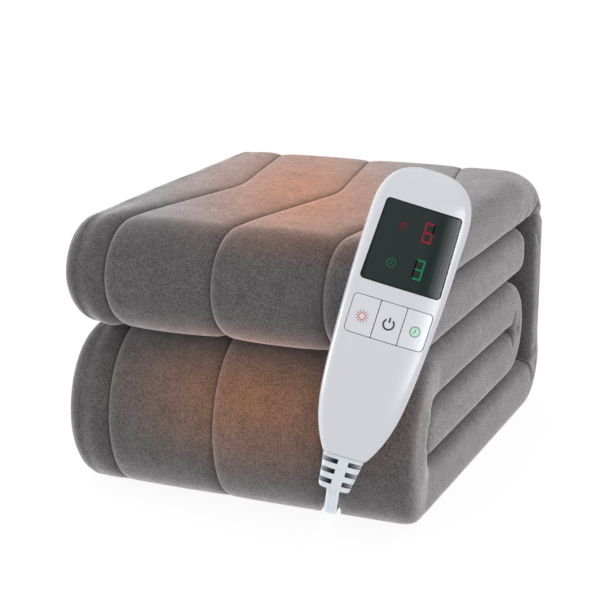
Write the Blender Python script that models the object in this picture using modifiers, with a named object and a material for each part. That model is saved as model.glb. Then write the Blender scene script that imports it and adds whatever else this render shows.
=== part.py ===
"""Electric heated blanket: a quilted fleece pad folded into a five-layer pack, with its
hand control leaning on the front corner and the flat cable stored in a coil behind it.

Frame: metres, +Z up. The origin is on the pack's underside, at the middle of its
footprint. -Y is the front with the two rolls, +X is the side that shows the layers.
"""
from math import copysign, cos, pi, radians, sin, sqrt

import bmesh
import bpy
from mathutils import Matrix, Vector

# ------------------------------------------------------------------ the folded pack
PACK_WIDTH = 0.240
PACK_DEPTH = 0.325
LAYER_PITCH = 0.0365
LAYER_GAP = 0.0014
PLY_GAP = 0.0006
STRIP_THICK = LAYER_PITCH - LAYER_GAP
PLY_THICK = (STRIP_THICK - 2 * PLY_GAP) / 3
BACK_FOLD_RADIUS = 0.0205
TUCKED_END_Y = 0.116
INNER_FOLD_Y = 0.114
LOWER_END_Y = -0.118
HEM_SETBACK = 0.008
MIDDLE_PLY_SETBACK = 0.004
# The folded strip rounds off over this length at both free ends.
END_ROUND_LENGTH = 0.015
END_ROUND_SHARES = (0.0, 0.08, 0.23, 0.50, 1.0)
THINNEST_END = 0.22
END_CORNER = 0.005
EDGE_ROUNDING = radians(30)

# Quilting: three stitched lines run the length of the outer ply.
SEAMS_X = (-0.0832, -0.0085, 0.0664)
SEAM_DEPTH = 0.0024
SEAM_CROWN = 0.0014
SEAM_RIM_SHARE = 0.4
SEAM_HALF_WIDTH = 0.008
STITCH_HALF_WIDTH = 0.0007
# Rows: path length from the start of the top layer, how far the quilting stands up. It is
# full on the rolls, top and back, pressed thin between layers and flat on the floor.
QUILT_RELIEF = (
    (-0.080, 0.25),
    (-0.050, 1.00),
    (0.375, 1.00),
    (0.410, 0.00),
    (0.668, 0.00),
    (0.700, 1.00),
    (0.750, 1.00),
    (0.780, 0.25),
)
# Rows: path length from the start of the top layer, sideways offset of the stitching.
SEAM_ZIGZAG = (
    (-0.330, 0.000),
    (-0.270, -0.008),
    (-0.180, 0.000),
    (0.012, 0.000),
    (0.127, 0.020),
    (0.265, -0.008),
    (0.390, 0.000),
    (0.730, 0.000),
    (0.800, -0.009),
    (0.900, 0.012),
    (1.100, 0.000),
)
# Rows: layer's middle as path length from the start of the top layer, and how far its
# right side stands back from the pack's side.
SIDE_SETBACK = (
    (-0.300, 0.0020),
    (-0.180, 0.0015),
    (-0.030, 0.0000),
    (0.140, 0.0000),
    (0.256, 0.0020),
    (0.283, 0.0003),
    (0.300, 0.0000),
    (0.660, 0.0000),
    (0.700, -0.0040),
    (0.740, -0.0040),
    (0.765, -0.0010),
    (0.785, 0.0010),
    (0.850, 0.0015),
    (0.940, 0.0010),
    (1.080, 0.0015),
)
# Rows: path length, how far the layer's left side stands back from the pack's side.
LEFT_SETBACK = (
    (-0.300, 0.000),
    (-0.075, 0.004),
    (-0.057, 0.009),
    (-0.030, 0.005),
    (0.000, 0.005),
    (0.067, 0.000),
    (0.157, -0.004),
    (0.257, -0.009),
    (0.340, -0.006),
    (0.420, 0.000),
    (0.640, 0.000),
    (0.670, 0.004),
    (0.710, 0.005),
    (0.760, 0.004),
    (0.800, 0.002),
    (1.200, 0.002),
)
# Rows: path length, how square the right side is on the strip's outer half and on its
# inner half; 2 is a half circle.
SIDE_SQUARENESS = (
    (-0.300, 5.0, 3.0),
    (-0.075, 5.0, 3.0),
    (-0.050, 2.2, 2.2),
    (0.010, 2.2, 2.4),
    (0.045, 2.6, 4.0),
    (0.225, 2.6, 4.0),
    (0.256, 2.0, 4.0),
    (0.290, 2.4, 4.0),
    (0.385, 2.4, 4.0),
    (0.430, 5.4, 4.0),
    (0.650, 5.4, 4.0),
    (0.680, 4.0, 3.0),
    (0.750, 2.6, 3.0),
    (0.790, 3.4, 4.0),
    (0.950, 3.4, 4.0),
    (1.010, 4.4, 3.4),
    (1.100, 5.0, 3.4),
)
SIDE_STEPS = 7
# Rows: path length, how far the lower roll sags out over the surface it lies on.
ROLL_SAG = (
    (0.6535, 0.0000),
    (0.6599, 0.0008),
    (0.6659, 0.0032),
    (0.6726, 0.0042),
    (0.6822, 0.0040),
    (0.6917, 0.0028),
    (0.7013, 0.0013),
    (0.7172, 0.0000),
)

# ------------------------------------------------------------------ the hand control
CONTROL_AZIMUTH = radians(26)
CONTROL_LEAN = radians(8)
CONTROL_ROLL = radians(17.7)
CONTACT_ACROSS = 0.0008
CONTACT_UP = 0.0912
TOUCH_GAP = 0.0003
SHELL_LENGTH = 0.1728
SHELL_FRONT = 0.0100
SHELL_BACK = 0.0095
SHELL_FOOT_DEPTH = 0.0068
SHELL_FULL_DEPTH_AT = 0.055
SHELL_SQUARENESS = 3.4
SHELL_COLUMNS = 20
END_ROUND_START = 0.139
END_ROUND_POWER = 2.7
END_THINS_FROM = 0.150
END_THINNING = 0.96
END_THINNING_POWER = 2.4
# Rows: distance up from the cable end, half of the shell's width there.
SHELL_SIDES = (
    (0.0000, 0.0134),
    (0.0050, 0.0163),
    (0.0130, 0.0199),
    (0.0215, 0.0226),
    (0.0320, 0.0247),
    (0.0470, 0.0263),
    (0.0640, 0.0274),
    (0.0860, 0.0284),
    (0.1120, 0.0290),
    (0.1390, 0.0290),
)
WINDOW_BOTTOM = 0.1032
WINDOW_TOP = 0.1512
WINDOW_HALF_FOOT = 0.0241
WINDOW_HALF_HEAD = 0.0224
WINDOW_CORNER = 0.0022
WINDOW_FLOOR = 0.0052
KEY_BOTTOM = 0.0714
KEY_TOP = 0.0939
KEYPAD_HALF = 0.0237
KEY_CORNER = 0.0026
KEY_SLIT = 0.0004
KEY_FLOOR = 0.0050
KEY_TRAVEL_ROOM = 0.0010
FIT_GAP = 0.0003
CUTTER_MARGIN = 0.004
CORNER_STEPS = 4

# ------------------------------------------------------------------ cable and its ends
CABLE_WIDTH = 0.0076
CABLE_THICK = 0.0038
FLOOR_GAP = 0.0002
RELIEF_LENGTH = 0.0210
RELIEF_TOP = (0.0248, 0.0126)
RELIEF_FOOT = (0.0186, 0.0100)
RELIEF_SLOTS = (0.0036, 0.0098, 0.0160)
RELIEF_SLOT_HEIGHT = 0.0029
RELIEF_SPINE = 0.0062
RELIEF_EASE = 0.0012
RELIEF_SIDES = 28
# Rows: corners of the cable's section, as shares of half its width and half its thickness.
CABLE_CORNERS = ((1, 0.5), (1, -0.5), (0.5, -1), (-0.5, -1), (-1, -0.5), (-1, 0.5), (-0.5, 1), (0.5, 1))
CABLE_STEPS = 4
CABLE_FLAT_FROM_Y = -0.145
CABLE_FLAT_BLEND = 0.055
CABLE_TWIST_FROM_Y = 0.158
CABLE_TWIST_LENGTH = 0.035
CABLE_REST_Z = FLOOR_GAP + CABLE_THICK / 2
CABLE_EDGE_Z = FLOOR_GAP + CABLE_WIDTH / 2
CABLE_SEAM = 2
TROUGH_X = 0.0600
# Rows: path length, where the cable's trough is on the lower roll.
TROUGH_LINE = (
    (0.655, 0.0600),
    (0.666, 0.0611),
    (0.673, 0.0637),
    (0.682, 0.0684),
)
TROUGH_HALF_WIDTH = 0.0062
TROUGH_RIM_HALF_WIDTH = 0.0068
TROUGH_DEPTH = 0.0060
# Rows: path length from the start of the top layer, how far the cable's trough has taken
# the place of the third stitched groove.
TROUGH_RUN = (
    (0.392, 0.0),
    (0.407, 1.0),
    (0.668, 1.0),
    (0.677, 0.7),
    (0.684, 0.3),
    (0.694, 0.0),
)
COIL_MIDDLE_RADIUS = 0.0410
COIL_HALF_BAND = 0.0083
COIL_EASE = 0.0012
COIL_Y = 0.2380
COIL_ENTRY_X = 0.0668
COIL_X = COIL_ENTRY_X - COIL_MIDDLE_RADIUS
CABLE_END_Y = COIL_Y - FIT_GAP - sqrt(
    (COIL_MIDDLE_RADIUS + COIL_HALF_BAND) ** 2 - (COIL_MIDDLE_RADIUS - CABLE_THICK / 2) ** 2
)
# Rows: points of the cable's middle line, from below the strain relief to the coil.
CABLE_ROUTE = (
    (0.0890, -0.1990, 0.0400),
    (0.0878, -0.1980, 0.0342),
    (0.0862, -0.1938, 0.0308),
    (0.0830, -0.1860, 0.0270),
    (0.0781, -0.1740, 0.0217),
    (0.0729, -0.1610, 0.0158),
    (0.0678, -0.1480, 0.0098),
    (0.0633, -0.1360, 0.0047),
    (0.0605, -0.1240, 0.0028),
    (TROUGH_X, -0.1120, CABLE_REST_Z),
    (TROUGH_X, -0.0700, CABLE_REST_Z),
    (TROUGH_X, 0.0000, CABLE_REST_Z),
    (TROUGH_X, 0.0700, CABLE_REST_Z),
    (TROUGH_X, 0.1200, CABLE_REST_Z),
    (TROUGH_X, 0.1560, CABLE_REST_Z),
    (TROUGH_X + 0.0009, 0.1700, 0.0031),
    (TROUGH_X + 0.0028, 0.1800, 0.0041),
    (COIL_ENTRY_X, 0.1980, CABLE_EDGE_Z),
    (COIL_ENTRY_X, CABLE_END_Y, CABLE_EDGE_Z),
)
CONNECTOR_ANGLE = radians(200)
CONNECTOR_INTURN = radians(52)
CONNECTOR_BODY = (0.0170, 0.0250, 0.0088)
CONNECTOR_BOOT = (0.0100, 0.0090, 0.0064)
CONNECTOR_SETBACK = 0.0029
CONNECTOR_ROUNDING = 0.0018

COLOURS = {
    "fleece": ((0.165, 0.158, 0.160), 0.95),
    "white_shell": ((0.650, 0.670, 0.710), 0.28),
    "dark_window": ((0.012, 0.018, 0.016), 0.10),
    "white_key": ((0.640, 0.660, 0.700), 0.35),
    "white_rubber": ((0.600, 0.620, 0.660), 0.50),
}


# ------------------------------------------------------------------ helpers
def clear_scene():
    for old in list(bpy.data.objects):
        bpy.data.objects.remove(old, do_unlink=True)


def new_collection(name):
    collection = bpy.data.collections.new(name)
    bpy.context.scene.collection.children.link(collection)
    return collection


def material(name):
    colour, roughness = COLOURS[name]
    made = bpy.data.materials.get(name)
    if made is None:
        made = bpy.data.materials.new(name)
        made.use_nodes = True
        shader = made.node_tree.nodes["Principled BSDF"]
        shader.inputs["Base Color"].default_value = (*colour, 1.0)
        shader.inputs["Roughness"].default_value = roughness
        shader.inputs["Metallic"].default_value = 0.0
    return made


def add_object(name, mesh_data, collection, finish=None, parent=None):
    made = bpy.data.objects.new(name, mesh_data)
    collection.objects.link(made)
    if parent is not None:
        made.parent = parent
    if finish is not None:
        made.data.materials.append(material(finish))
        made.data.shade_smooth()
        made.data.set_sharp_from_angle(angle=radians(38))
    else:
        made.hide_render = True
        made.display_type = "WIRE"
    return made


def mesh_from(working, name):
    bmesh.ops.recalc_face_normals(working, faces=working.faces)
    made = bpy.data.meshes.new(name)
    working.to_mesh(made)
    working.free()
    return made


def loft(rings, name, fill=None):
    """Skin rings of equal length and close both ends, with one face or with those in fill."""
    working = bmesh.new()
    grid = [[working.verts.new(point) for point in ring] for ring in rings]
    count = len(rings[0])
    for lower, upper in zip(grid, grid[1:]):
        for i in range(count):
            j = (i + 1) % count
            working.faces.new((lower[i], lower[j], upper[j], upper[i]))
    for end in (grid[0], grid[-1]):
        for face in fill or [range(count)]:
            working.faces.new([end[i] for i in face])
    return mesh_from(working, name)


def table_value(rows, at, column=1):
    """Read a table's column, with straight stretches between its rows."""
    if at <= rows[0][0]:
        return rows[0][column]
    for before, after in zip(rows, rows[1:]):
        if at <= after[0]:
            share = (at - before[0]) / (after[0] - before[0])
            return before[column] + (after[column] - before[column]) * share
    return rows[-1][column]


def boolean(target, cutter, operation="DIFFERENCE"):
    modifier = target.modifiers.new(cutter.name, "BOOLEAN")
    modifier.operation = operation
    modifier.solver = "EXACT"
    modifier.object = cutter


def smooth_route(points, per_span):
    """A smooth curve through the route's points (centripetal spacing by chord)."""
    knots = [Vector(p) for p in points]
    knots = [2 * knots[0] - knots[1]] + knots + [2 * knots[-1] - knots[-2]]
    route = []
    for before, start, end, after in zip(knots, knots[1:], knots[2:], knots[3:]):
        span = (end - start).length
        tangent_in = (end - before) / ((end - start).length + (start - before).length) * span
        tangent_out = (after - start) / ((after - end).length + span) * span
        for i in range(per_span):
            t = i / per_span
            route.append(
                start * (2 * t**3 - 3 * t**2 + 1)
                + tangent_in * (t**3 - 2 * t**2 + t)
                + end * (3 * t**2 - 2 * t**3)
                + tangent_out * (t**3 - t**2)
            )
    return route + [knots[-2]]


# ------------------------------------------------------------------ blanket
def fold_path():
    """Stations along the strip's middle surface: (path length, y, z, heading)."""
    front = -PACK_DEPTH / 2 + STRIP_THICK / 2
    back = PACK_DEPTH / 2 - STRIP_THICK / 2
    upper_y = front + LAYER_PITCH / 2
    lower_y = front + LAYER_PITCH
    corner_y = back - BACK_FOLD_RADIUS
    tight = LAYER_PITCH / 2
    inner_y = INNER_FOLD_Y - STRIP_THICK / 2 - tight
    layer_z = [STRIP_THICK / 2 + i * LAYER_PITCH for i in range(5)]
    rise = layer_z[4] - layer_z[0] - 2 * BACK_FOLD_RADIUS
    # Rows: length of a straight stretch or radius of a turn, turn in degrees, steps.
    steps = (
        (TUCKED_END_Y - upper_y, 0, 7),
        (tight, 180, 10),
        (corner_y - upper_y, 0, 9),
        (BACK_FOLD_RADIUS, 90, 5),
        (rise, 0, 4),
        (BACK_FOLD_RADIUS, 90, 5),
        (corner_y - lower_y, 0, 4),
        (LAYER_PITCH, 180, 12),
        (inner_y - lower_y, 0, 5),
        (tight, 180, 8),
        (inner_y - LOWER_END_Y, 0, 5),
    )
    top_start = (TUCKED_END_Y - upper_y) + pi * tight
    y, z, heading, length = TUCKED_END_Y, layer_z[3], pi, -top_start
    stations = [(length, y, z, heading)]
    for size, turn, count in steps:
        step_turn = radians(turn) / count
        for _ in range(count):
            if turn:
                chord = 2 * size * sin(step_turn / 2)
                advance = size * step_turn
            else:
                chord = advance = size / count
            heading -= step_turn / 2
            y += chord * cos(heading)
            z += chord * sin(heading)
            heading -= step_turn / 2
            length += advance
            stations.append((length, y, z, heading))
    return stations


def end_rounding(stations):
    """Add how full the strip is to each station, and rounded stations at both free ends."""
    rows = [(*station, 1.0) for station in stations[1:-1]]
    for share in reversed(END_ROUND_SHARES):
        distance = END_ROUND_LENGTH * share
        fullness = max(THINNEST_END, sqrt(1 - (1 - share) ** 2))
        rows.insert(0, (*moved_along(stations[0], distance), fullness))
        rows.append((*moved_along(stations[-1], -distance), fullness))
    return rows


def moved_along(station, distance):
    length, y, z, heading = station
    return length + distance, y + distance * cos(heading), z + distance * sin(heading), heading


def arc(centre, radius, start, end, count, squareness=(2.0, 2.0)):
    """Points along an arc, both ends left out.

    The squareness is that of its upper and of its lower half; above 2, it bulges
    towards its corners.
    """
    points = []
    for i in range(1, count + 1):
        angle = start + (end - start) * i / (count + 1)
        x, w = cos(angle), sin(angle)
        power = squareness[0] if w > 0 else squareness[1]
        reach = radius / (abs(x) ** power + abs(w) ** power) ** (1 / power)
        points.append((centre[0] + reach * x, centre[1] + reach * w))
    return points


def groove(seam, height, relief, trough):
    """Depth profile of one stitched line, which widens into the cable's trough."""
    shoulder = SEAM_HALF_WIDTH + (TROUGH_RIM_HALF_WIDTH - SEAM_HALF_WIDTH) * trough
    bed = STITCH_HALF_WIDTH + (TROUGH_HALF_WIDTH - STITCH_HALF_WIDTH) * trough
    depth = SEAM_DEPTH * relief + (TROUGH_DEPTH - SEAM_DEPTH * relief) * trough
    rim = height + SEAM_CROWN * relief * SEAM_RIM_SHARE * (1 - (2 * seam / PACK_WIDTH) ** 2)
    return [(seam - shoulder, rim), (seam - bed, height - depth),
            (seam + bed, height - depth), (seam + shoulder, rim)]


def quilted_ply(seams, left, right, middle, half, relief, trough):
    """The outer ply, crowned between its stitched grooves: pairs of outside and inside."""
    top, bottom = middle + half, middle - half
    pairs = [((left, top), (left, bottom))]
    for index, seam in enumerate(seams):
        if index:
            crown = ((seam + seams[index - 1]) / 2, top + SEAM_CROWN * relief)
            pairs.append((crown, (seam, bottom)))
        wanted = trough if index == CABLE_SEAM else 0.0
        pairs += [(point, (seam, bottom)) for point in groove(seam, top, relief, wanted)]
    return pairs + [((right, top), (right, bottom))]


def folded_section(seams, relief, trough, left, side, squareness):
    """The strip folded in three: pairs of outside and inside, as (across, outwards).

    The middle ply starts inside the right fold, turns over at the left into the outer
    ply, and rounds the right side into the inner ply, which ends in a free hem.
    """
    half = PLY_THICK / 2
    outer = STRIP_THICK / 2 - half
    left_radius = outer / 2
    left_x = left + left_radius + half
    right_x = side - STRIP_THICK / 2
    start_x = right_x - MIDDLE_PLY_SETBACK
    hem_x = left + HEM_SETBACK
    blunt, reach = half * sin(EDGE_ROUNDING), half * cos(EDGE_ROUNDING)

    pairs = [((start_x + reach, -blunt), (start_x + reach, blunt)),
             ((start_x, -half), (start_x, half)),
             ((left_x, -half), (left_x, half))]
    turn = arc((left_x, left_radius), left_radius + half, 1.5 * pi, 0.5 * pi, 4)
    pairs += [(point, (left_x, half)) for point in turn[:2]]
    pairs += [(point, (left_x, outer - half)) for point in turn[2:]]
    pairs += quilted_ply(seams, left_x, right_x, outer, half, relief, trough)
    pairs += zip(arc((right_x, 0.0), outer + half, 0.5 * pi, -0.5 * pi, SIDE_STEPS, squareness),
                 arc((right_x, 0.0), outer - half, 0.5 * pi, -0.5 * pi, SIDE_STEPS))
    pairs += [((right_x, -outer - half), (right_x, -outer + half)),
              ((hem_x, -outer - half), (hem_x, -outer + half)),
              ((hem_x - reach, -outer - blunt), (hem_x - reach, -outer + blunt))]
    return pairs


def strip_outline(pairs):
    """The outline round paired points, and the faces between them as places in it."""
    outside = [point for point, _ in pairs]
    inside = list(dict.fromkeys(point for _, point in pairs))
    outline = outside + inside[::-1]
    place = {point: i for i, point in enumerate(outline)}
    fill = []
    for (here, under), (there, beyond) in zip(pairs, pairs[1:]):
        corners = (place[here], place[there], place[beyond], place[under])
        fill.append(list(dict.fromkeys(corners)))
    return outline, fill


def build_blanket(parts):
    rings = []
    for length, y, z, heading, fullness in end_rounding(fold_path()):
        offset = table_value(SEAM_ZIGZAG, length)
        side = PACK_WIDTH / 2 - table_value(SIDE_SETBACK, length) - END_CORNER * (1 - fullness)
        left = -PACK_WIDTH / 2 + table_value(LEFT_SETBACK, length)
        seams = [seam + offset for seam in SEAMS_X]
        relief = table_value(QUILT_RELIEF, length)
        trough = table_value(TROUGH_RUN, length)
        seams[CABLE_SEAM] += (table_value(TROUGH_LINE, length) - seams[CABLE_SEAM]) * trough
        squareness = [table_value(SIDE_SQUARENESS, length, column) for column in (1, 2)]
        section, fill = strip_outline(folded_section(seams, relief, trough, left, side, squareness))
        out_y, out_z = -sin(heading) * fullness, cos(heading) * fullness
        sag = 1 + table_value(ROLL_SAG, length) / (STRIP_THICK / 2)
        section = [(x, w * sag if w > 0 else w) for x, w in section]
        rings.append([(x, y + w * out_y, max(0.0, z + w * out_z)) for x, w in section])
    add_object("blanket", loft(rings, "blanket", fill), parts, "fleece")


# ------------------------------------------------------------------ hand control
def control_matrix():
    """Pose of the control: it leans its back on the upper roll's right front corner."""
    normal = Vector((
        sin(CONTROL_AZIMUTH) * cos(CONTROL_LEAN),
        -cos(CONTROL_AZIMUTH) * cos(CONTROL_LEAN),
        sin(CONTROL_LEAN),
    ))
    level = Vector((cos(CONTROL_AZIMUTH), sin(CONTROL_AZIMUTH), 0.0))
    rising = normal.cross(level)
    up = rising * cos(CONTROL_ROLL) + level * sin(CONTROL_ROLL)
    across = level * cos(CONTROL_ROLL) - rising * sin(CONTROL_ROLL)

    side_radius = STRIP_THICK / 2
    roll_radius = (LAYER_PITCH + STRIP_THICK) / 2
    corner = Vector((
        PACK_WIDTH / 2 - side_radius,
        -PACK_DEPTH / 2 + roll_radius,
        3.5 * LAYER_PITCH + STRIP_THICK / 2,
    ))
    facing = Vector((0.0, normal.y, normal.z)).normalized()
    contact = corner + (roll_radius - side_radius) * facing + side_radius * normal
    origin = contact + normal * (SHELL_BACK + TOUCH_GAP) - across * CONTACT_ACROSS - up * CONTACT_UP
    turned = Matrix((across, up, normal)).transposed().to_4x4()
    return Matrix.Translation(origin) @ turned


def shell_half_width(up):
    if up <= END_ROUND_START:
        return table_value(SHELL_SIDES, up)
    reach = min(1.0, (up - END_ROUND_START) / (SHELL_LENGTH - END_ROUND_START))
    return SHELL_SIDES[-1][1] * (1 - reach**END_ROUND_POWER) ** (1 / END_ROUND_POWER)


def shell_depth(up, full):
    """The shell is thinner at the cable end and rounds off at the far end."""
    rising = min(1.0, up / SHELL_FULL_DEPTH_AT)
    depth = SHELL_FOOT_DEPTH + (full - SHELL_FOOT_DEPTH) * (2 * rising - rising**2)
    reach = max(0.0, (up - END_THINS_FROM) / (SHELL_LENGTH - END_THINS_FROM))
    return depth * sqrt(1 - END_THINNING * reach**END_THINNING_POWER)


def shell_rows():
    rows = [up for up, _ in SHELL_SIDES]
    span = SHELL_LENGTH - END_ROUND_START
    rows += [END_ROUND_START + span * sin(pi / 2 * i / 8) for i in range(1, 8)]
    return rows + [SHELL_LENGTH - 0.00015]


def squarish(angle):
    """A point on a unit outline between a circle and a square."""
    power = 2 / SHELL_SQUARENESS
    x, y = cos(angle), sin(angle)
    return copysign(abs(x) ** power, x), copysign(abs(y) ** power, y)


def half_shell(name, full, side):
    """One half of the shell, lofted along its length; side is +1 front, -1 back."""
    rings = []
    for up in shell_rows():
        width, depth = shell_half_width(up), shell_depth(up, full)
        ring = [(width, up, side * FIT_GAP / 2)]
        for i in range(1, SHELL_COLUMNS):
            x, z = squarish(pi * i / SHELL_COLUMNS)
            ring.append((width * x, up, side * (FIT_GAP / 2 + depth * z)))
        rings.append(ring + [(-width, up, side * FIT_GAP / 2)])
    return loft(rings, name)


def rounded_corner(before, here, after, radius):
    """Points that round one corner of an anticlockwise outline, or the corner itself."""
    if radius == 0:
        return [tuple(here)]
    incoming = (before - here).normalized()
    outgoing = (after - here).normalized()
    half_angle = incoming.angle(outgoing) / 2
    reach = radius / sin(half_angle)
    centre = here + (incoming + outgoing).normalized() * reach
    start = here + incoming * (reach * cos(half_angle)) - centre
    points = []
    for k in range(CORNER_STEPS + 1):
        turned = start.copy()
        turned.rotate(Matrix.Rotation((pi - 2 * half_angle) * k / CORNER_STEPS, 2))
        points.append(tuple(centre + turned))
    return points


def rounded_outline(corners, *radii):
    """Round a convex anticlockwise outline, by one radius or by one for each corner."""
    if len(radii) == 1:
        radii *= len(corners)
    points = [Vector(corner) for corner in corners]
    outline = []
    for i, (here, radius) in enumerate(zip(points, radii)):
        outline += rounded_corner(points[i - 1], here, points[(i + 1) % len(points)], radius)
    return outline


def prism(name, outline, low, high, collection, finish=None, parent=None):
    rings = [[(x, y, level) for x, y in outline] for level in (low, high)]
    return add_object(name, loft(rings, name), collection, finish, parent)


def window_corners(grow):
    return [
        (-WINDOW_HALF_FOOT - grow, WINDOW_BOTTOM - grow),
        (WINDOW_HALF_FOOT + grow, WINDOW_BOTTOM - grow),
        (WINDOW_HALF_HEAD + grow, WINDOW_TOP + grow),
        (-WINDOW_HALF_HEAD - grow, WINDOW_TOP + grow),
    ]


def key_spans():
    """Left and right edge of each of the three keys."""
    pitch = 2 * KEYPAD_HALF / 3
    spans = []
    for i in range(3):
        left = -KEYPAD_HALF + i * pitch + (KEY_SLIT / 2 if i else 0.0)
        right = -KEYPAD_HALF + (i + 1) * pitch - (KEY_SLIT / 2 if i < 2 else 0.0)
        spans.append((left, right))
    return spans


def build_control(parts, cutters):
    pose = bpy.data.objects.new("control_pose", None)
    parts.objects.link(pose)
    pose.matrix_world = control_matrix()

    above = SHELL_FRONT + CUTTER_MARGIN
    window_hole = prism("window_cutter", rounded_outline(window_corners(FIT_GAP), WINDOW_CORNER),
                        WINDOW_FLOOR - FIT_GAP, above, cutters, None, pose)
    grown = KEYPAD_HALF + FIT_GAP
    pad_corners = [(-grown, KEY_BOTTOM - FIT_GAP), (grown, KEY_BOTTOM - FIT_GAP),
                   (grown, KEY_TOP + FIT_GAP), (-grown, KEY_TOP + FIT_GAP)]
    key_hole = prism("key_cutter", rounded_outline(pad_corners, KEY_CORNER),
                     KEY_FLOOR - KEY_TRAVEL_ROOM, above, cutters, None, pose)
    body = add_object("shell_body", half_shell("shell_body", SHELL_FRONT, 1), cutters, None, pose)

    front = add_object("control_front", half_shell("control_front", SHELL_FRONT, 1),
                       parts, "white_shell", pose)
    boolean(front, window_hole)
    boolean(front, key_hole)
    add_object("control_back", half_shell("control_back", SHELL_BACK, -1),
               parts, "white_shell", pose)

    window = prism("display_window", rounded_outline(window_corners(0.0), WINDOW_CORNER),
                   WINDOW_FLOOR, above, parts, "dark_window", pose)
    boolean(window, body, "INTERSECT")
    build_keys(parts, body, pose, above)
    build_relief(parts, cutters, pose)
    return pose.matrix_world.copy()


def build_keys(parts, body, pose, above):
    names = ("key_heat", "key_power", "key_timer")
    for index, (name, (left, right)) in enumerate(zip(names, key_spans())):
        corners = [(left, KEY_BOTTOM), (right, KEY_BOTTOM), (right, KEY_TOP), (left, KEY_TOP)]
        left_round = KEY_CORNER if index == 0 else 0.0
        right_round = KEY_CORNER if index == 2 else 0.0
        outline = rounded_outline(corners, left_round, right_round, right_round, left_round)
        key = prism(name, outline, KEY_FLOOR, above, parts, "white_key", pose)
        boolean(key, body, "INTERSECT")


def build_relief(parts, cutters, pose):
    """Tapered strain relief with three slots on each side of a central spine."""
    rings = []
    for down, narrow in ((FIT_GAP, 1.0), (RELIEF_LENGTH - RELIEF_EASE, 1.0), (RELIEF_LENGTH, 0.9)):
        blend = down / RELIEF_LENGTH
        half_x = narrow * (RELIEF_TOP[0] + (RELIEF_FOOT[0] - RELIEF_TOP[0]) * blend) / 2
        half_z = narrow * (RELIEF_TOP[1] + (RELIEF_FOOT[1] - RELIEF_TOP[1]) * blend) / 2
        ring = []
        for i in range(RELIEF_SIDES):
            x, z = squarish(2 * pi * i / RELIEF_SIDES)
            ring.append((half_x * x, -down, half_z * z))
        rings.append(ring)
    relief = add_object("strain_relief", loft(rings, "strain_relief"), parts,
                        "white_rubber", pose)
    working = bmesh.new()
    for slot in RELIEF_SLOTS:
        for side in (-1, 1):
            middle_x = side * (RELIEF_SPINE + RELIEF_TOP[0]) / 2
            placing = Matrix.Translation((middle_x, -slot, 0.0))
            placing @= Matrix.Diagonal((RELIEF_TOP[0], RELIEF_SLOT_HEIGHT, 2 * RELIEF_TOP[1], 1.0))
            bmesh.ops.create_cube(working, size=1.0, matrix=placing)
    slots = add_object("slot_cutter", mesh_from(working, "slot_cutter"), cutters, None, pose)
    boolean(relief, slots)


# ------------------------------------------------------------------ cable
def flat_section(point, along, width_hint):
    """An eight-sided flat section across the cable."""
    wide = (width_hint - along * width_hint.dot(along)).normalized() * CABLE_WIDTH / 2
    thin = along.cross(wide).normalized() * CABLE_THICK / 2
    return [tuple(point + wide * a + thin * b) for a, b in CABLE_CORNERS]


def cable_width_direction(y, at_control):
    """Flat under the control and the pack, then on edge before the coil."""
    floor_flat = Vector((1.0, 0.0, 0.0))
    on_edge = Vector((0.0, 0.0, 1.0))
    if y < CABLE_FLAT_FROM_Y:
        return floor_flat.lerp(at_control, min(1.0, (CABLE_FLAT_FROM_Y - y) / CABLE_FLAT_BLEND))
    blend = min(1.0, max(0.0, (y - CABLE_TWIST_FROM_Y) / CABLE_TWIST_LENGTH))
    return floor_flat.lerp(on_edge, blend * blend * (3 - 2 * blend))


def build_cable(parts, control_pose):
    exit_point = control_pose @ Vector((0.0, -RELIEF_LENGTH - FIT_GAP, 0.0))
    across = control_pose.to_3x3() @ Vector((1.0, 0.0, 0.0))
    leaving = control_pose.to_3x3() @ Vector((0.0, -1.0, 0.0))
    route = smooth_route([exit_point, *CABLE_ROUTE], CABLE_STEPS)
    rings = []
    for i, point in enumerate(route):
        along = (route[min(i + 1, len(route) - 1)] - route[max(i - 1, 0)]).normalized()
        if i == 0:
            along = leaving
        rings.append(flat_section(point, along, cable_width_direction(point.y, across)))
    add_object("cable_run", loft(rings, "cable_run"), parts, "white_rubber")


def build_coil(parts):
    """The outer form of the cable's turns, which stand on edge side by side."""
    working = bmesh.new()
    inner = COIL_MIDDLE_RADIUS - COIL_HALF_BAND
    outer = COIL_MIDDLE_RADIUS + COIL_HALF_BAND
    low, high, ease = FLOOR_GAP, FLOOR_GAP + CABLE_WIDTH, COIL_EASE
    profile = ((outer, high - ease), (outer, low + ease), (outer - ease, low),
               (inner + ease, low), (inner, low + ease), (inner, high - ease),
               (inner + ease, high), (outer - ease, high))
    corners = [working.verts.new((radius, 0.0, z)) for radius, z in profile]
    for first, second in zip(corners, corners[1:] + corners[:1]):
        working.edges.new((first, second))
    made = bpy.data.meshes.new("cable_coil")
    working.to_mesh(made)
    working.free()
    coil = add_object("cable_coil", made, parts, "white_rubber")
    coil.location = (COIL_X, COIL_Y, 0.0)
    screw = coil.modifiers.new("turned", "SCREW")
    screw.steps = screw.render_steps = 32
    screw.use_merge_vertices = True
    screw.merge_threshold = 0.00005
    screw.use_normal_calculate = True


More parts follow.
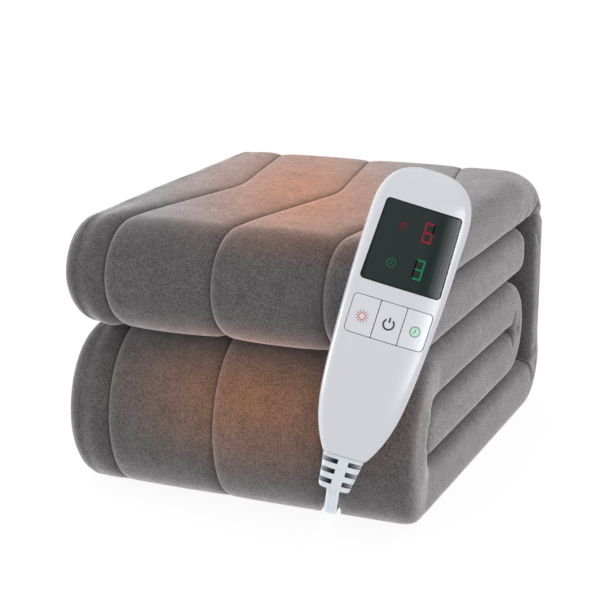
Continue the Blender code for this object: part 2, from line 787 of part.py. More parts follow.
def build_connector(parts):
    """Moulded connector and its boot, lying in the middle of the coil."""
    inner = COIL_MIDDLE_RADIUS - COIL_HALF_BAND
    outward = Vector((cos(CONNECTOR_ANGLE), sin(CONNECTOR_ANGLE), 0.0))
    tangent = Vector((-outward.y, outward.x, 0.0))
    along = tangent * cos(CONNECTOR_INTURN) - outward * sin(CONNECTOR_INTURN)
    across = Vector((along.y, -along.x, 0.0))
    tip = Vector((COIL_X, COIL_Y, 0.0)) + outward * (inner - CONNECTOR_SETBACK)
    turned = Matrix((across, along, Vector((0.0, 0.0, 1.0)))).transposed().to_4x4()
    width, length, height = CONNECTOR_BODY
    boot_width, boot_length, boot_height = CONNECTOR_BOOT
    middle = FLOOR_GAP + height / 2
    # Rows: distance along the connector, width, height.
    profile = (
        (0.0, boot_width * 0.78, boot_height * 0.86),
        (boot_length, boot_width, boot_height),
        (boot_length + 0.0004, width * 0.90, height * 0.84),
        (boot_length + 0.0022, width, height),
        (boot_length + length - 0.0012, width, height),
        (boot_length + length, width * 0.92, height * 0.86),
    )
    rings = []
    for distance, wide, tall in profile:
        x, z = wide / 2, tall / 2
        outline = rounded_outline([(-x, -z), (x, -z), (x, z), (-x, z)], CONNECTOR_ROUNDING)
        rings.append([(x, distance, z) for x, z in outline])
    connector = add_object("cable_connector", loft(rings, "cable_connector"), parts, "white_rubber")
    connector.matrix_world = Matrix.Translation(tip + Vector((0.0, 0.0, middle))) @ turned


def main():
    clear_scene()
    parts = new_collection("heated_blanket")
    cutters = new_collection("cutters")
    build_blanket(parts)
    control_pose = build_control(parts, cutters)
    build_cable(parts, control_pose)
    build_coil(parts)
    build_connector(parts)


main()
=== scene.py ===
"""Electric heated blanket: a quilted fleece pad folded into a pack, its hand control and cable.

Sizes are in metres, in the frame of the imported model: +Z up, -Y the front with the two
rolls, +X the side that shows the layers.
"""

from itertools import product
from math import copysign, cos, pi, radians, sin, sqrt, tan

import bmesh
import bpy
import numpy as np
from bpy.props import FloatProperty, FloatVectorProperty, IntProperty, PointerProperty
from mathutils import Matrix, Vector
from mathutils.geometry import tessellate_polygon


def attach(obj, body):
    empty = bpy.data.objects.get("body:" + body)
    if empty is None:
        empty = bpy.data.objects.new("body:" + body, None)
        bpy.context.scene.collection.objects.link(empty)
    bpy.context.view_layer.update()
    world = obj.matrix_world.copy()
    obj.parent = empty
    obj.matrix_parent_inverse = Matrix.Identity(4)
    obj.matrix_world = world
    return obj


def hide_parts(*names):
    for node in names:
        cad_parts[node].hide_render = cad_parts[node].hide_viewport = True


bl_info = {
    "name": "Folded heated blanket",
    "version": (1, 0, 0),
    "blender": (4, 5, 0),
    "location": "3D View > Sidebar > Heated blanket",
    "description": "Dresses the packed heated blanket: fleece pack, hand control and flat cable",
    "category": "Object",
}

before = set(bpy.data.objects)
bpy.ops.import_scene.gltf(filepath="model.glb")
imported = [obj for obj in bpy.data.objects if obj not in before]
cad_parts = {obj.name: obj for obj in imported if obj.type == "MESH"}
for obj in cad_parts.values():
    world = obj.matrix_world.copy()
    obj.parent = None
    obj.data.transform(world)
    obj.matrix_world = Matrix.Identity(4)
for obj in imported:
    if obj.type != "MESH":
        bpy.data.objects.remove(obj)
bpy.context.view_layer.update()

# ------------------------------------------------------------------ the folded pad
PACK_WIDTH = 0.240
PACK_DEPTH = 0.325
LAYER_PITCH = 0.0365
STRIP_THICK = 0.0351
PLY_GAP = 0.0006
PLY_THICK = (STRIP_THICK - 2 * PLY_GAP) / 3
BACK_FOLD_RADIUS = 0.0205
TUCKED_END_Y = 0.116
INNER_FOLD_Y = 0.114
LOWER_END_Y = -0.118
HEM_SETBACK = 0.008
MIDDLE_PLY_SETBACK = 0.004
END_ROUND_LENGTH = 0.015
END_CORNER = 0.005
THINNEST_END = 0.05
# Where the stations near a free end lie, as shares of its rounding.
END_SHARES = (0.0, 0.03, 0.10, 0.20, 0.34, 0.52, 0.74, 1.0)
LEAST_STATION_GAP = 0.001
PANEL_COLUMNS = (12, 20, 20, 14)
SIDE_STEPS = 15

SEAMS_X = (-0.0832, -0.0085, 0.0664)
SEAM_HALF_WIDTH = 0.0070
SEAM_SOFTNESS = 1.8
STITCH_HALF_WIDTH = 0.0011
STITCH_PINCH = 0.0007
CROWN_POWER = 2.4
EDGE_CROWN_SHARE = 0.4
CABLE_SEAM = 2
TROUGH_X = 0.0600
TROUGH_HALF_WIDTH = 0.0050
TROUGH_WALL = 0.0020
TROUGH_DEPTH = 0.0060
# Rows: path length from the start of the top layer, how far the quilting stands up.
QUILT_RELIEF = (
    (-0.080, 0.25), (-0.050, 1.00), (0.000, 1.00), (0.040, 0.50), (0.270, 0.45), (0.375, 0.50),
    (0.410, 0.00), (0.668, 0.00), (0.700, 1.00), (0.750, 1.00), (0.780, 0.25),
)
# Rows: path length, sideways offset of the stitching.
SEAM_ZIGZAG = (
    (-0.330, 0.000), (-0.270, -0.008), (-0.180, 0.000), (0.012, 0.000), (0.127, 0.020),
    (0.265, -0.008), (0.390, 0.000), (0.730, 0.000), (0.800, -0.009), (0.900, 0.012),
    (1.100, 0.000),
)
ZIGZAG_ROUNDING = 0.016
# Rows: path length, how far the layer's right side stands back from the pack's side.
SIDE_SETBACK = (
    (-0.300, 0.0020), (-0.180, 0.0015), (-0.030, 0.0000), (0.140, 0.0000), (0.220, 0.0005),
    (0.240, 0.0010), (0.256, 0.0020), (0.268, 0.0015), (0.283, 0.0003), (0.300, 0.0000),
    (0.520, 0.0000), (0.660, 0.0000), (0.685, -0.0030), (0.700, -0.0040), (0.740, -0.0040),
    (0.765, -0.0010), (0.785, 0.0010), (0.850, 0.0015), (0.940, 0.0010), (1.080, 0.0015),
)
# Rows: path length, how square the right side is on the strip's outer half and on its inner
# half; 2 is a half circle.
SIDE_SQUARENESS = (
    (-0.300, 5.0, 3.0), (-0.075, 5.0, 3.0), (-0.050, 2.2, 2.2), (0.010, 2.2, 2.4), (0.045, 2.6, 4.0),
    (0.225, 2.6, 4.0), (0.256, 2.0, 4.0), (0.290, 2.4, 4.2), (0.372, 2.4, 4.2), (0.430, 5.4, 4.6),
    (0.650, 5.4, 5.0), (0.680, 4.0, 5.0), (0.750, 2.6, 5.0), (0.790, 3.4, 5.0), (0.950, 3.4, 5.0),
    (1.010, 4.4, 3.4), (1.100, 5.0, 3.4),
)
# Rows: path length, how much further the right side's outer half reaches in as it rounds.
OUTER_ROUNDING = ((0.215, 0.000), (0.243, 0.007), (0.262, 0.009), (0.278, 0.004), (0.295, 0.000))
# Rows: path length, how much the right edge is thicker towards the inside of the fold.
INNER_SWELL = (
    (0.654, 0.0000), (0.672, 0.0045), (0.700, 0.0056), (0.725, 0.0052), (0.748, 0.0042),
    (0.772, 0.0000),
)
SWELL_REACH = 0.045
SWELL_RIPPLE = 0.12
SWELL_RIPPLE_LENGTH = 0.021
# Rows: path length, how far the lower roll's outer face sags out over the floor.
ROLL_SAG = (
    (0.6535, 0.0000), (0.6599, 0.0008), (0.6659, 0.0032), (0.6726, 0.0042), (0.6822, 0.0040),
    (0.6917, 0.0028), (0.7013, 0.0013), (0.7172, 0.0000),
)
# Rows: path length, how far the layer's left side stands back from the pack's side.
LEFT_SETBACK = (
    (-0.300, 0.000), (-0.075, 0.004), (-0.057, 0.009), (-0.045, 0.007), (-0.030, 0.005),
    (0.000, 0.005), (0.030, 0.003), (0.067, 0.000), (0.117, -0.003), (0.157, -0.004),
    (0.207, -0.007), (0.257, -0.009), (0.340, -0.006), (0.420, 0.000), (0.640, 0.000),
    (0.670, 0.004), (0.710, 0.005), (0.760, 0.004), (0.800, 0.002), (1.200, 0.002),
)
# Rows: path length, how far the seam beside the cable has widened into its trough.
TROUGH_RUN = ((0.392, 0.0), (0.407, 1.0), (0.668, 1.0), (0.677, 0.7), (0.684, 0.3), (0.694, 0.0))
# Rows: path length, where the trough is on the lower roll.
TROUGH_LINE = ((0.655, TROUGH_X), (0.666, 0.0611), (0.673, 0.0637), (0.682, 0.0684))
# Creases in the right side, where the folds bunch. Rows: path length and height across
# the side (from its middle, outwards) of both ends, half width, depth.
CREASES = (
    (0.203, -0.022, 0.212, -0.008, 0.0022, 0.0007),
    (0.224, -0.024, 0.237, -0.007, 0.0022, 0.0009),
    (0.256, -0.024, 0.268, -0.003, 0.0020, 0.0010),
    (0.262, -0.027, 0.285, 0.012, 0.0022, 0.0017),
    (0.272, -0.025, 0.298, -0.005, 0.0024, 0.0008),
    (0.386, -0.022, 0.384, -0.004, 0.0030, 0.0007),
    (0.399, -0.024, 0.397, 0.004, 0.0034, 0.0009),
    (0.413, -0.024, 0.411, -0.002, 0.0034, 0.0008),
    (0.434, -0.025, 0.446, -0.007, 0.0024, 0.0009),
    (0.969, -0.025, 0.966, -0.006, 0.0022, 0.0009),
    (0.983, -0.026, 0.987, -0.002, 0.0024, 0.0013),
    (0.997, -0.025, 1.008, -0.007, 0.0022, 0.0010),
)
# The cloth stands up a little on both sides of a crease: share of its depth, and where.
CREASE_LIP = 0.22
CREASE_LIP_AT = 2.1
UNEVENNESS = 0.00045
LEAST_UNEVEN = 0.3
# Rows: wave length along the strip, wave length across it, phase.
UNEVEN_WAVES = ((0.083, 0.061, 0.3), (0.047, 0.090, 1.9), (0.121, 0.037, 4.1))

# Painted warm glow patches. Rows: middle, reach, how far x falls for each metre of y, tint.
PAINTED_GLOW_ZONES = (
    ((-0.006, -0.015, 0.191), (0.126, 0.318, 0.037), 0.386, (1.72, 0.76, 0.38)),
    ((0.022, -0.154, 0.078), (0.126, 0.050, 0.063), 0.000, (2.50, 1.36, 0.84)),
)
WARM_CORE = -0.13
SEAM_DARKNESS = 0.75
# Painted sheen: how much the nap's colour is brightened where it is seen edge on.
PAINTED_SHEEN_POWER = 3.6
PAINTED_SHEEN_LIFT = 3.5

THREAD_PITCH = 0.0036
THREAD_LENGTH = 0.0026
THREAD_THICK = 0.0005
THREAD_LIFT = 0.00012
THREAD_FLATNESS = 0.6
# Rows: place along a stitch in its own lengths, share of the thread's thickness there.
STITCH_SHAPE = ((-0.5, 0.15), (-0.30, 1.0), (0.30, 1.0), (0.5, 0.15))
# Rows: first and last path length of the stitched lines that show.
STITCHED_RUNS = ((-0.070, 0.398), (0.680, 0.776))

# ------------------------------------------------------------------ the hand control
CONTROL_AZIMUTH = radians(26)
CONTROL_LEAN = radians(8)
CONTROL_ROLL = radians(17.7)
CONTACT_ACROSS = 0.0008
CONTACT_UP = 0.0912
TOUCH_GAP = 0.0003
SHELL_LENGTH = 0.1728
SHELL_FRONT = 0.0100
SHELL_BACK = 0.0095
SHELL_FOOT_DEPTH = 0.0068
SHELL_FULL_DEPTH_AT = 0.055
SHELL_SQUARENESS = 3.4
END_ROUND_START = 0.139
END_ROUND_POWER = 2.7
END_THINS_FROM = 0.150
END_THINNING = 0.97
END_THINNING_POWER = 2.4
PARTING_GAP = 0.0003
END_FLAT = 0.00003
# Rows: distance up from the cable end, share of the full section.
FOOT_EASE = ((0.0, 0.97), (0.0002, 0.99), (0.0006, 1.0))
# Rows: distance up from the cable end, half of the shell's width there.
SHELL_SIDES = (
    (0.0000, 0.0134), (0.0050, 0.0163), (0.0130, 0.0199), (0.0215, 0.0226),
    (0.0320, 0.0247), (0.0470, 0.0263), (0.0640, 0.0274), (0.0860, 0.0284),
    (0.1120, 0.0290), (0.1390, 0.0290),
)
WINDOW_BOTTOM = 0.1032
WINDOW_TOP = 0.1512
WINDOW_HALF_FOOT = 0.0241
WINDOW_HALF_HEAD = 0.0224
WINDOW_CORNER = 0.0022
WINDOW_FLOOR = 0.0052
KEY_BOTTOM = 0.0714
KEY_TOP = 0.0939
KEYPAD_HALF = 0.0237
KEY_CORNER = 0.0026
KEY_INNER_CORNER = 0.0003
KEY_SLIT = 0.0005
KEY_FLOOR = 0.0050
KEY_TRAVEL_ROOM = 0.0010
FIT_GAP = 0.0003
EDGE_EASE = 0.00025
# Rows: how far in and how far down the eased edge runs, in eases.
EASED_EDGE = ((0.0, 1.0), (0.3, 0.3), (1.0, 0.0))
# How far out from the middle an insert's rings lie.
INSERT_RINGS = (0.96, 0.88, 0.78, 0.67, 0.55, 0.43, 0.31, 0.19, 0.08)
RECESS_HEADROOM = 0.004
SHELL_RINGS = 70
SHELL_HEAD_RINGS = 26
SHELL_COLUMNS = 80

KEYS = (("key_heat", "heat_key"), ("key_power", "power_key"), ("key_timer", "timer_key"))
PRINT_HEIGHT = 0.00004
PRINT_SINK = 0.00006
DIGIT_HALF_WIDTH = 0.0024
DIGIT_HALF_HEIGHT = 0.0054
DIGIT_STROKE = 0.0009
HEAT_DIGIT_AT = (0.0059, 0.1381)
TIMER_DIGIT_AT = (0.0067, 0.1165)
HEAT_SIGN_AT = (-0.0093, 0.1382)
TIMER_SIGN_AT = (-0.0094, 0.1160)
HEAT_KEY_AT = (-0.0160, 0.0818)
POWER_KEY_AT = (0.0, 0.0817)
TIMER_KEY_AT = (0.0159, 0.0819)
# A sun: radius of its core, rays from and to, number of rays, stroke.
HEAT_SIGN = (0.0013, 0.0019, 0.0024, 8, 0.00055)
HEAT_KEY_SUN = (0.0019, 0.0024, 0.0038, 12, 0.00042)
# A clock: radius, stroke.
TIMER_SIGN = (0.0025, 0.0005)
TIMER_KEY_CLOCK = (0.0029, 0.0007)
# The ends of a clock's two hands, in radii.
CLOCK_HANDS = ((0.05, 0.55), (0.05, -0.05), (-0.38, -0.42))
POWER_RADIUS = 0.0031
POWER_OPENING = (126, 414)
POWER_BAR = (0.0010, 0.0041)
POWER_STROKE = 0.0011
DIM_HEAT = 0.45
DIM_TIMER = 0.50
INKS = {
    "red_print": (0.32, 0.035, 0.045), "rose_print": (0.76, 0.56, 0.54),
    "dark_print": (0.018, 0.020, 0.024), "green_print": (0.040, 0.24, 0.14),
    "pale_print": (0.47, 0.60, 0.54),
}
# Ends of the seven bars of a digit, in half widths and half heights.
DIGIT_BARS = {
    "a": ((-1, 1), (1, 1)), "b": ((1, 1), (1, 0)), "c": ((1, 0), (1, -1)),
    "d": ((-1, -1), (1, -1)), "e": ((-1, 0), (-1, -1)), "f": ((-1, 1), (-1, 0)),
    "g": ((-1, 0), (1, 0)),
}
LIT_BARS = ("abcdef", "bc", "abdeg", "abcdg", "bcfg", "acdfg", "acdefg", "abc", "abcdefg", "abcdfg")

# ------------------------------------------------------------------ cable and its ends
CABLE_WIDTH = 0.0076
CABLE_THICK = 0.0038
CABLE_END_RADIUS = 0.0017
CABLE_GROOVE_AT = 0.00125
# Rows: distance from the groove's middle, share of its depth.
CABLE_GROOVE = ((0.00045, 0), (0.00012, 1), (-0.00012, 1), (-0.00045, 0))
CABLE_CROWN = 0.00005
FLOOR_GAP = 0.0002
CABLE_REST_Z = FLOOR_GAP + CABLE_THICK / 2
CABLE_EDGE_Z = FLOOR_GAP + CABLE_WIDTH / 2
COIL_X = 0.0258
CABLE_FLAT_FROM_Y = -0.145
CABLE_FLAT_BLEND = 0.055
CABLE_TWIST_FROM_Y = 0.158
CABLE_TWIST_LENGTH = 0.035
COIL_MIDDLE_RADIUS = 0.0410
COIL_HALF_BAND = 0.0083
COIL_Y = 0.2380
COIL_OUTER_TURN = 0.0472
COIL_TURN_PITCH = 0.0041
COIL_SWEEP = radians(3 * 360 + 162)
# Rows: points of the cable's middle line, from below the strain relief to the coil.
CABLE_ROUTE = (
    (0.0890, -0.1990, 0.0400),
    (0.0878, -0.1980, 0.0342),
    (0.0862, -0.1938, 0.0308),
    (0.0830, -0.1860, 0.0270),
    (0.0781, -0.1740, 0.0217),
    (0.0729, -0.1610, 0.0158),
    (0.0678, -0.1480, 0.0098),
    (0.0633, -0.1360, 0.0047),
    (0.0605, -0.1240, 0.0028),
    (TROUGH_X, -0.1120, CABLE_REST_Z),
    (TROUGH_X, -0.0700, CABLE_REST_Z),
    (TROUGH_X, 0.0000, CABLE_REST_Z),
    (TROUGH_X, 0.0700, CABLE_REST_Z),
    (TROUGH_X, 0.1200, CABLE_REST_Z),
    (TROUGH_X, 0.1560, CABLE_REST_Z),
    (TROUGH_X + 0.0009, 0.1700, 0.0031),
    (TROUGH_X + 0.0028, 0.1800, 0.0041),
    (TROUGH_X + 0.0077, 0.1980, CABLE_EDGE_Z),
    (TROUGH_X + 0.0118, 0.2190, CABLE_EDGE_Z),
)
ROUTE_STEPS = 10
COIL_STEPS = 240
TAIL_STEPS = 12
RELIEF_LENGTH = 0.0210
RELIEF_TOP = (0.0248, 0.0126)
RELIEF_FOOT = (0.0186, 0.0100)
RELIEF_SLOTS = (0.0036, 0.0098, 0.0160)
RELIEF_SLOT_HEIGHT = 0.0029
RELIEF_SPINE = 0.0062
RELIEF_WEB = 0.0012
RELIEF_EASE = 0.0014
RELIEF_SLOT_EASE = 0.0004
RELIEF_SLOT_DROP = 0.0004
# Rows: distance down from the shell, fullness of the section, above the eased foot.
RELIEF_PROFILE = (
    (FIT_GAP, 0.97), (FIT_GAP + 0.0002, 1.0), (0.0010, 1.0), (0.00115, 0.965), (0.00135, 0.965),
    (0.0015, 1.0), (0.0060, 1.0), (0.0120, 1.0), (RELIEF_LENGTH - RELIEF_EASE, 1.0),
)
RELIEF_SIDES = 96
CONNECTOR_ANGLE = radians(200)
CONNECTOR_INTURN = radians(52)
CONNECTOR_BODY = (0.0170, 0.0250, 0.0088)
CONNECTOR_BOOT = (0.0100, 0.0090, 0.0064)
CONNECTOR_SETBACK = 0.0029
CONNECTOR_SQUARENESS = 3.2
CONNECTOR_SIDES = 56
CONTACTS_X = (-0.0042, 0.0, 0.0042)
CONTACT_HOLE = (0.0024, 0.012, 0.0034)
CONTACT_EASE = 0.0005

# ------------------------------------------------------------------ stage
CAMERA_AT = (0.40408, -0.98010, 0.38739)
CAMERA_TARGET = (0.0528, -0.162, 0.14777)
CAMERA_LENS = 92.53
FLOOR_Z = -0.0002
FLOOR_SIZE = 40.0
FLOOR_GLOW = 0.915
# The room is darker towards +X and brighter towards -X by this share.
SKY_TILT = 0.20
# Cards that the control's gloss reflects, one in front of the other, so that the streak
# fades in. Rows: first and last azimuth round the control, in degrees.
STREAK_CARDS = ((-42, -4), (-36, -5), (-30, -7), (-25, -9))
STREAK_TARGET = (0.106, -0.170, 0.130)
STREAK_DISTANCE = 0.346
STREAK_HEIGHT = 0.26
LIGHT_AIM = (0.02, -0.05, 0.10)
# Rows: light, the setting that holds its power, place, target, width and height.
LIGHTS = (
    ("key_light", "key_power", (1.02, -0.62, 1.28), LIGHT_AIM, (0.9, 1.1)),
    ("fill_light", "fill_power", (0.55, -1.40, 0.60), LIGHT_AIM, (0.9, 0.9)),
    ("top_light", "top_power", (0.35, 0.02, 1.55), LIGHT_AIM, (1.4, 1.4)),
    ("rim_light", "rim_power", (-1.20, -0.10, 0.14), (0.0, -0.10, 0.14), (0.5, 0.24)),
)
WHITE = (1.0, 1.0, 1.0, 1.0)


# ------------------------------------------------------------------ settings
def colour_setting(name, description, default):
    return FloatVectorProperty(
        name=name, description=description, subtype="COLOR", size=3, min=0.0, max=1.0, default=default
    )


def number_setting(name, description, default, unit="NONE", **limits):
    return FloatProperty(name=name, description=description, default=default, unit=unit, **limits)


class PadSettings(bpy.types.PropertyGroup):
    """Finish and quilting of the fleece pad."""

    nap_colour: colour_setting("Nap", "Colour of the fleece's nap", (0.167, 0.156, 0.160))
    fleck_colour: colour_setting("Flecks", "Colour of the darker fibres", (0.050, 0.049, 0.049))
    thread_colour: colour_setting("Thread", "Colour of the quilting thread", (0.075, 0.066, 0.063))
    # Strength of the painted warm glow patches.
    warm_strength: number_setting("Warm glow", "How strong the warm patches are", 1.15, min=0.0, max=2.0)
    seam_depth: number_setting("Seam depth", "How deep the quilting lines sink", 0.0026, "LENGTH")
    crown: number_setting("Crown", "How far the quilted panels stand up", 0.0016, "LENGTH")


class ControlSettings(bpy.types.PropertyGroup):
    """Colours and display of the hand control."""

    shell_colour: colour_setting("Shell", "Colour of the white moulding", (0.598, 0.612, 0.650))
    key_colour: colour_setting("Keys", "Colour of the keys", (0.603, 0.616, 0.651))
    window_colour: colour_setting("Window", "Colour of the display window", (0.005, 0.013, 0.013))
    heat_light: colour_setting("Heat light", "Colour of the heat digit", (0.90, 0.020, 0.055))
    timer_light: colour_setting("Timer light", "Colour of the timer digit", (0.005, 0.66, 0.200))
    light_strength: number_setting("Light", "Brightness of the lit digits", 0.27, min=0.0, max=10.0)
    heat_level: IntProperty(name="Heat", description="Heat level shown", min=0, max=9, default=6)
    timer_hours: IntProperty(name="Hours", description="Hours shown", min=0, max=9, default=3)


class CableSettings(bpy.types.PropertyGroup):
    """Finish of the flat cable, its strain relief and its connector."""

    cable_colour: colour_setting("Cable", "Colour of the cable's sheath", (0.66, 0.70, 0.75))
    relief_colour: colour_setting("Relief", "Colour of the strain relief", (0.62, 0.66, 0.70))
    groove_depth: number_setting("Groove depth", "Depth of the grooves along the cable", 0.00032, "LENGTH")


class StudioSettings(bpy.types.PropertyGroup):
    """Floor and lights."""

    floor_colour: colour_setting("Floor", "Colour of the floor", (0.10, 0.10, 0.10))
    sky_strength: number_setting("Room light", "Light from all round", 0.80)
    key_power: number_setting("Key light", "Soft light at the right", 1.8, "POWER")
    fill_power: number_setting("Fill light", "Soft light from the front", 2.2, "POWER")
    top_power: number_setting("Top light", "Soft light overhead", 4.2, "POWER")
    rim_power: number_setting("Rim light", "Soft light from the left", 9.0, "POWER")
    streak_power: number_setting("Streak", "Power of a bright card in the gloss, for a metre of width", 2.1)


# ------------------------------------------------------------------ helpers
def read_table(rows, at, column=1):
    """Read a column of a table by its first one, with straight stretches between rows."""
    columns = list(zip(*rows))
    return np.interp(at, columns[0], columns[column])


def read_smoothly(rows, at):
    """Read a two-column table along a monotone cubic curve."""
    places, values = (np.array(column) for column in zip(*rows))
    slopes = np.diff(values) / np.diff(places)
    tangents = np.concatenate(([slopes[0]], np.zeros(len(slopes) - 1), [slopes[-1]]))
    rising = slopes[:-1] * slopes[1:] > 0
    means = 2 * slopes[:-1] * slopes[1:] / np.where(rising, slopes[:-1] + slopes[1:], 1.0)
    tangents[1:-1] = np.where(rising, means, 0.0)
    i = int(np.clip(np.searchsorted(places, at) - 1, 0, len(slopes) - 1))
    span = places[i + 1] - places[i]
    t = min(1.0, max(0.0, (at - places[i]) / span))
    return (
        values[i] * (2 * t**3 - 3 * t**2 + 1)
        + tangents[i] * span * (t**3 - 2 * t**2 + t)
        + values[i + 1] * (3 * t**2 - 2 * t**3)
        + tangents[i + 1] * span * (t**3 - t**2)
    )


def soft_step(t):
    t = np.clip(t, 0.0, 1.0)
    return t * t * (3 - 2 * t)


def mesh_from(points, faces, name):
    """A mesh with its faces turned outwards."""
    working = bmesh.new()
    for point in points:
        working.verts.new(point)
    working.verts.ensure_lookup_table()
    for face in faces:
        working.faces.new([working.verts[i] for i in face])
    bmesh.ops.recalc_face_normals(working, faces=working.faces)
    made = bpy.data.meshes.new(name)
    working.to_mesh(made)
    working.free()
    return made


def ring_faces(ring_count, size, start=0):
    """Faces between rings of equal size, numbered one after the other."""
    faces = []
    for low in range(start, start + (ring_count - 1) * size, size):
        for i in range(size):
            j = (i + 1) % size
            faces.append((low + i, low + j, low + size + j, low + size + i))
    return faces


def tube_faces(ring_count, size, start):
    """Faces between rings, and one across each end."""
    last = start + (ring_count - 1) * size
    return ring_faces(ring_count, size, start) + [tuple(range(k, k + size)) for k in (start, last)]


def loft(rings, name, caps=None):
    """Skin rings of equal length and close both ends."""
    size = len(rings[0])
    points = [tuple(point) for ring in rings for point in ring]
    faces = ring_faces(len(rings), size)
    for cap in caps or [range(size)]:
        faces.append(list(cap))
        faces.append([len(points) - size + i for i in cap])
    return mesh_from(points, faces, name)


def add_object(name, data):
    made = bpy.data.objects.new(name, data)
    bpy.context.scene.collection.objects.link(made)
    return made


def place(name, mesh, finish, body="root", stands_for=()):
    """Put a finished mesh in the scene, on its body."""
    made = add_object(name, mesh)
    if len(mesh.materials) == 0:
        mesh.materials.append(finish)
    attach(made, body)
    if stands_for:
        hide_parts(*stands_for)
    return made


def smooth(mesh, angle=None):
    mesh.shade_smooth()
    if angle is not None:
        mesh.set_sharp_from_angle(angle=radians(angle))


def squarish(angle, squareness):
    """A point on a unit outline between a circle and a square."""
    x, y = cos(angle), sin(angle)
    power = 2 / squareness
    return copysign(abs(x) ** power, x), copysign(abs(y) ** power, y)


def squarish_ring(half_width, half_height, at, squareness, sides):
    """A ring round the y axis, at a place along it."""
    outline = [squarish(2 * pi * k / sides, squareness) for k in range(sides)]
    return [(half_width * x, at, half_height * z) for x, z in outline]


def smooth_route(points, per_span):
    """A smooth curve through the route's points."""
    knots = [Vector(p) for p in points]
    knots = [2 * knots[0] - knots[1]] + knots + [2 * knots[-1] - knots[-2]]
    route = []
    for before, start, end, after in zip(knots, knots[1:], knots[2:], knots[3:]):
        span = (end - start).length
        tangent_in = (end - before) / (span + (start - before).length) * span
        tangent_out = (after - start) / ((after - end).length + span) * span
        for i in range(per_span):
            route.append(hermite(start, tangent_in, end, tangent_out, i / per_span))
    return route + [knots[-2]]


def hermite(start, tangent_in, end, tangent_out, t):
    return (
        start * (2 * t**3 - 3 * t**2 + 1)
        + tangent_in * (t**3 - 2 * t**2 + t)
        + end * (3 * t**2 - 2 * t**3)
        + tangent_out * (t**3 - t**2)
    )


# ------------------------------------------------------------------ materials
def add_node(tree, kind, inputs=None, **options):
    """Add a node; an input given as a socket is linked, any other value is set."""
    made = tree.nodes.new(kind)
    for name, value in options.items():
        setattr(made, name, value)
    for where, value in (inputs or {}).items():
        if isinstance(value, bpy.types.NodeSocket):
            tree.links.new(value, made.inputs[where])
        else:
            made.inputs[where].default_value = value
    return made


def calculate(tree, operation, first, second=0.0):
    return add_node(tree, "ShaderNodeMath", {0: first, 1: second}, operation=operation).outputs[0]


def mix_colours(tree, factor, first, second, blend="MIX"):
    made = add_node(
        tree, "ShaderNodeMix", {0: factor, 6: first, 7: second}, data_type="RGBA", blend_type=blend
    )
    return made.outputs[2]


def remap(tree, value, low, high, to_low=0.0, to_high=1.0, kind="SMOOTHSTEP"):
    made = add_node(
        tree, "ShaderNodeMapRange",
        {"Value": value, "From Min": low, "From Max": high, "To Min": to_low, "To Max": to_high},
        interpolation_type=kind,
    )
    return made.outputs[0]


def noise(tree, where, scale, detail=2.0, roughness=0.5):
    return add_node(
        tree, "ShaderNodeTexNoise",
        {"Vector": where, "Scale": scale, "Detail": detail, "Roughness": roughness},
    ).outputs[0]


def new_group(name, inputs, outputs):
    """A node group; inputs and outputs are rows of name, socket type and default."""
    group = bpy.data.node_groups.new(name, "ShaderNodeTree")
    for title, kind, default in inputs:
        socket = group.interface.new_socket(name=title, in_out="INPUT", socket_type=kind)
        if default is not None:
            socket.default_value = default
    for title, kind in outputs:
        group.interface.new_socket(name=title, in_out="OUTPUT", socket_type=kind)
    entry = group.nodes.new("NodeGroupInput").outputs
    leave = group.nodes.new("NodeGroupOutput").inputs
    return group, entry, leave


def use_group(tree, group, inputs):
    return add_node(tree, "ShaderNodeGroup", inputs, node_tree=group).outputs


def object_space(tree):
    return add_node(tree, "ShaderNodeTexCoord").outputs["Object"]


def scaled(tree, colour, share):
    return add_node(tree, "ShaderNodeVectorMath", {0: colour, "Scale": share}, operation="SCALE").outputs[0]


def add_bump(tree, shader, strength, distance, height):
    bump = add_node(tree, "ShaderNodeBump", {"Strength": strength, "Distance": distance, "Height": height})
    tree.links.new(bump.outputs[0], shader.inputs["Normal"])


def new_material(name, **sockets):
    """A Principled material; sockets are given with underscores for spaces."""
    made = bpy.data.materials.new(name)
    made.use_nodes = True
    shader = made.node_tree.nodes["Principled BSDF"]
    for title, value in sockets.items():
        shader.inputs[title.replace("_", " ")].default_value = value
    return made, made.node_tree, shader


def warm_zone():
    """A soft round patch of painted glow in the object's space: 1 in its middle, 0 outside."""
    group, entry, leave = new_group(
        "warm_zone",
        (("Middle", "NodeSocketVector", None), ("Reach", "NodeSocketVector", None),
         ("Slant", "NodeSocketFloat", 0.0)),
        (("Mask", "NodeSocketFloat"),),
    )

    def combine(operation, first, second=(0.0, 0.0, 0.0)):
        return add_node(group, "ShaderNodeVectorMath", {0: first, 1: second}, operation=operation).outputs

    away = combine("SUBTRACT", object_space(group), entry["Middle"])[0]
    parts = add_node(group, "ShaderNodeSeparateXYZ", {0: away}).outputs
    across = calculate(group, "ADD", parts["X"], calculate(group, "MULTIPLY", parts["Y"], entry["Slant"]))
    slanted = add_node(group, "ShaderNodeCombineXYZ", {"X": across, "Y": parts["Y"], "Z": parts["Z"]})
    length = combine("LENGTH", combine("DIVIDE", slanted.outputs[0], entry["Reach"])[0])["Value"]
    group.links.new(remap(group, length, WARM_CORE, 1.0, 1.0, 0.0), leave["Mask"])
    return group


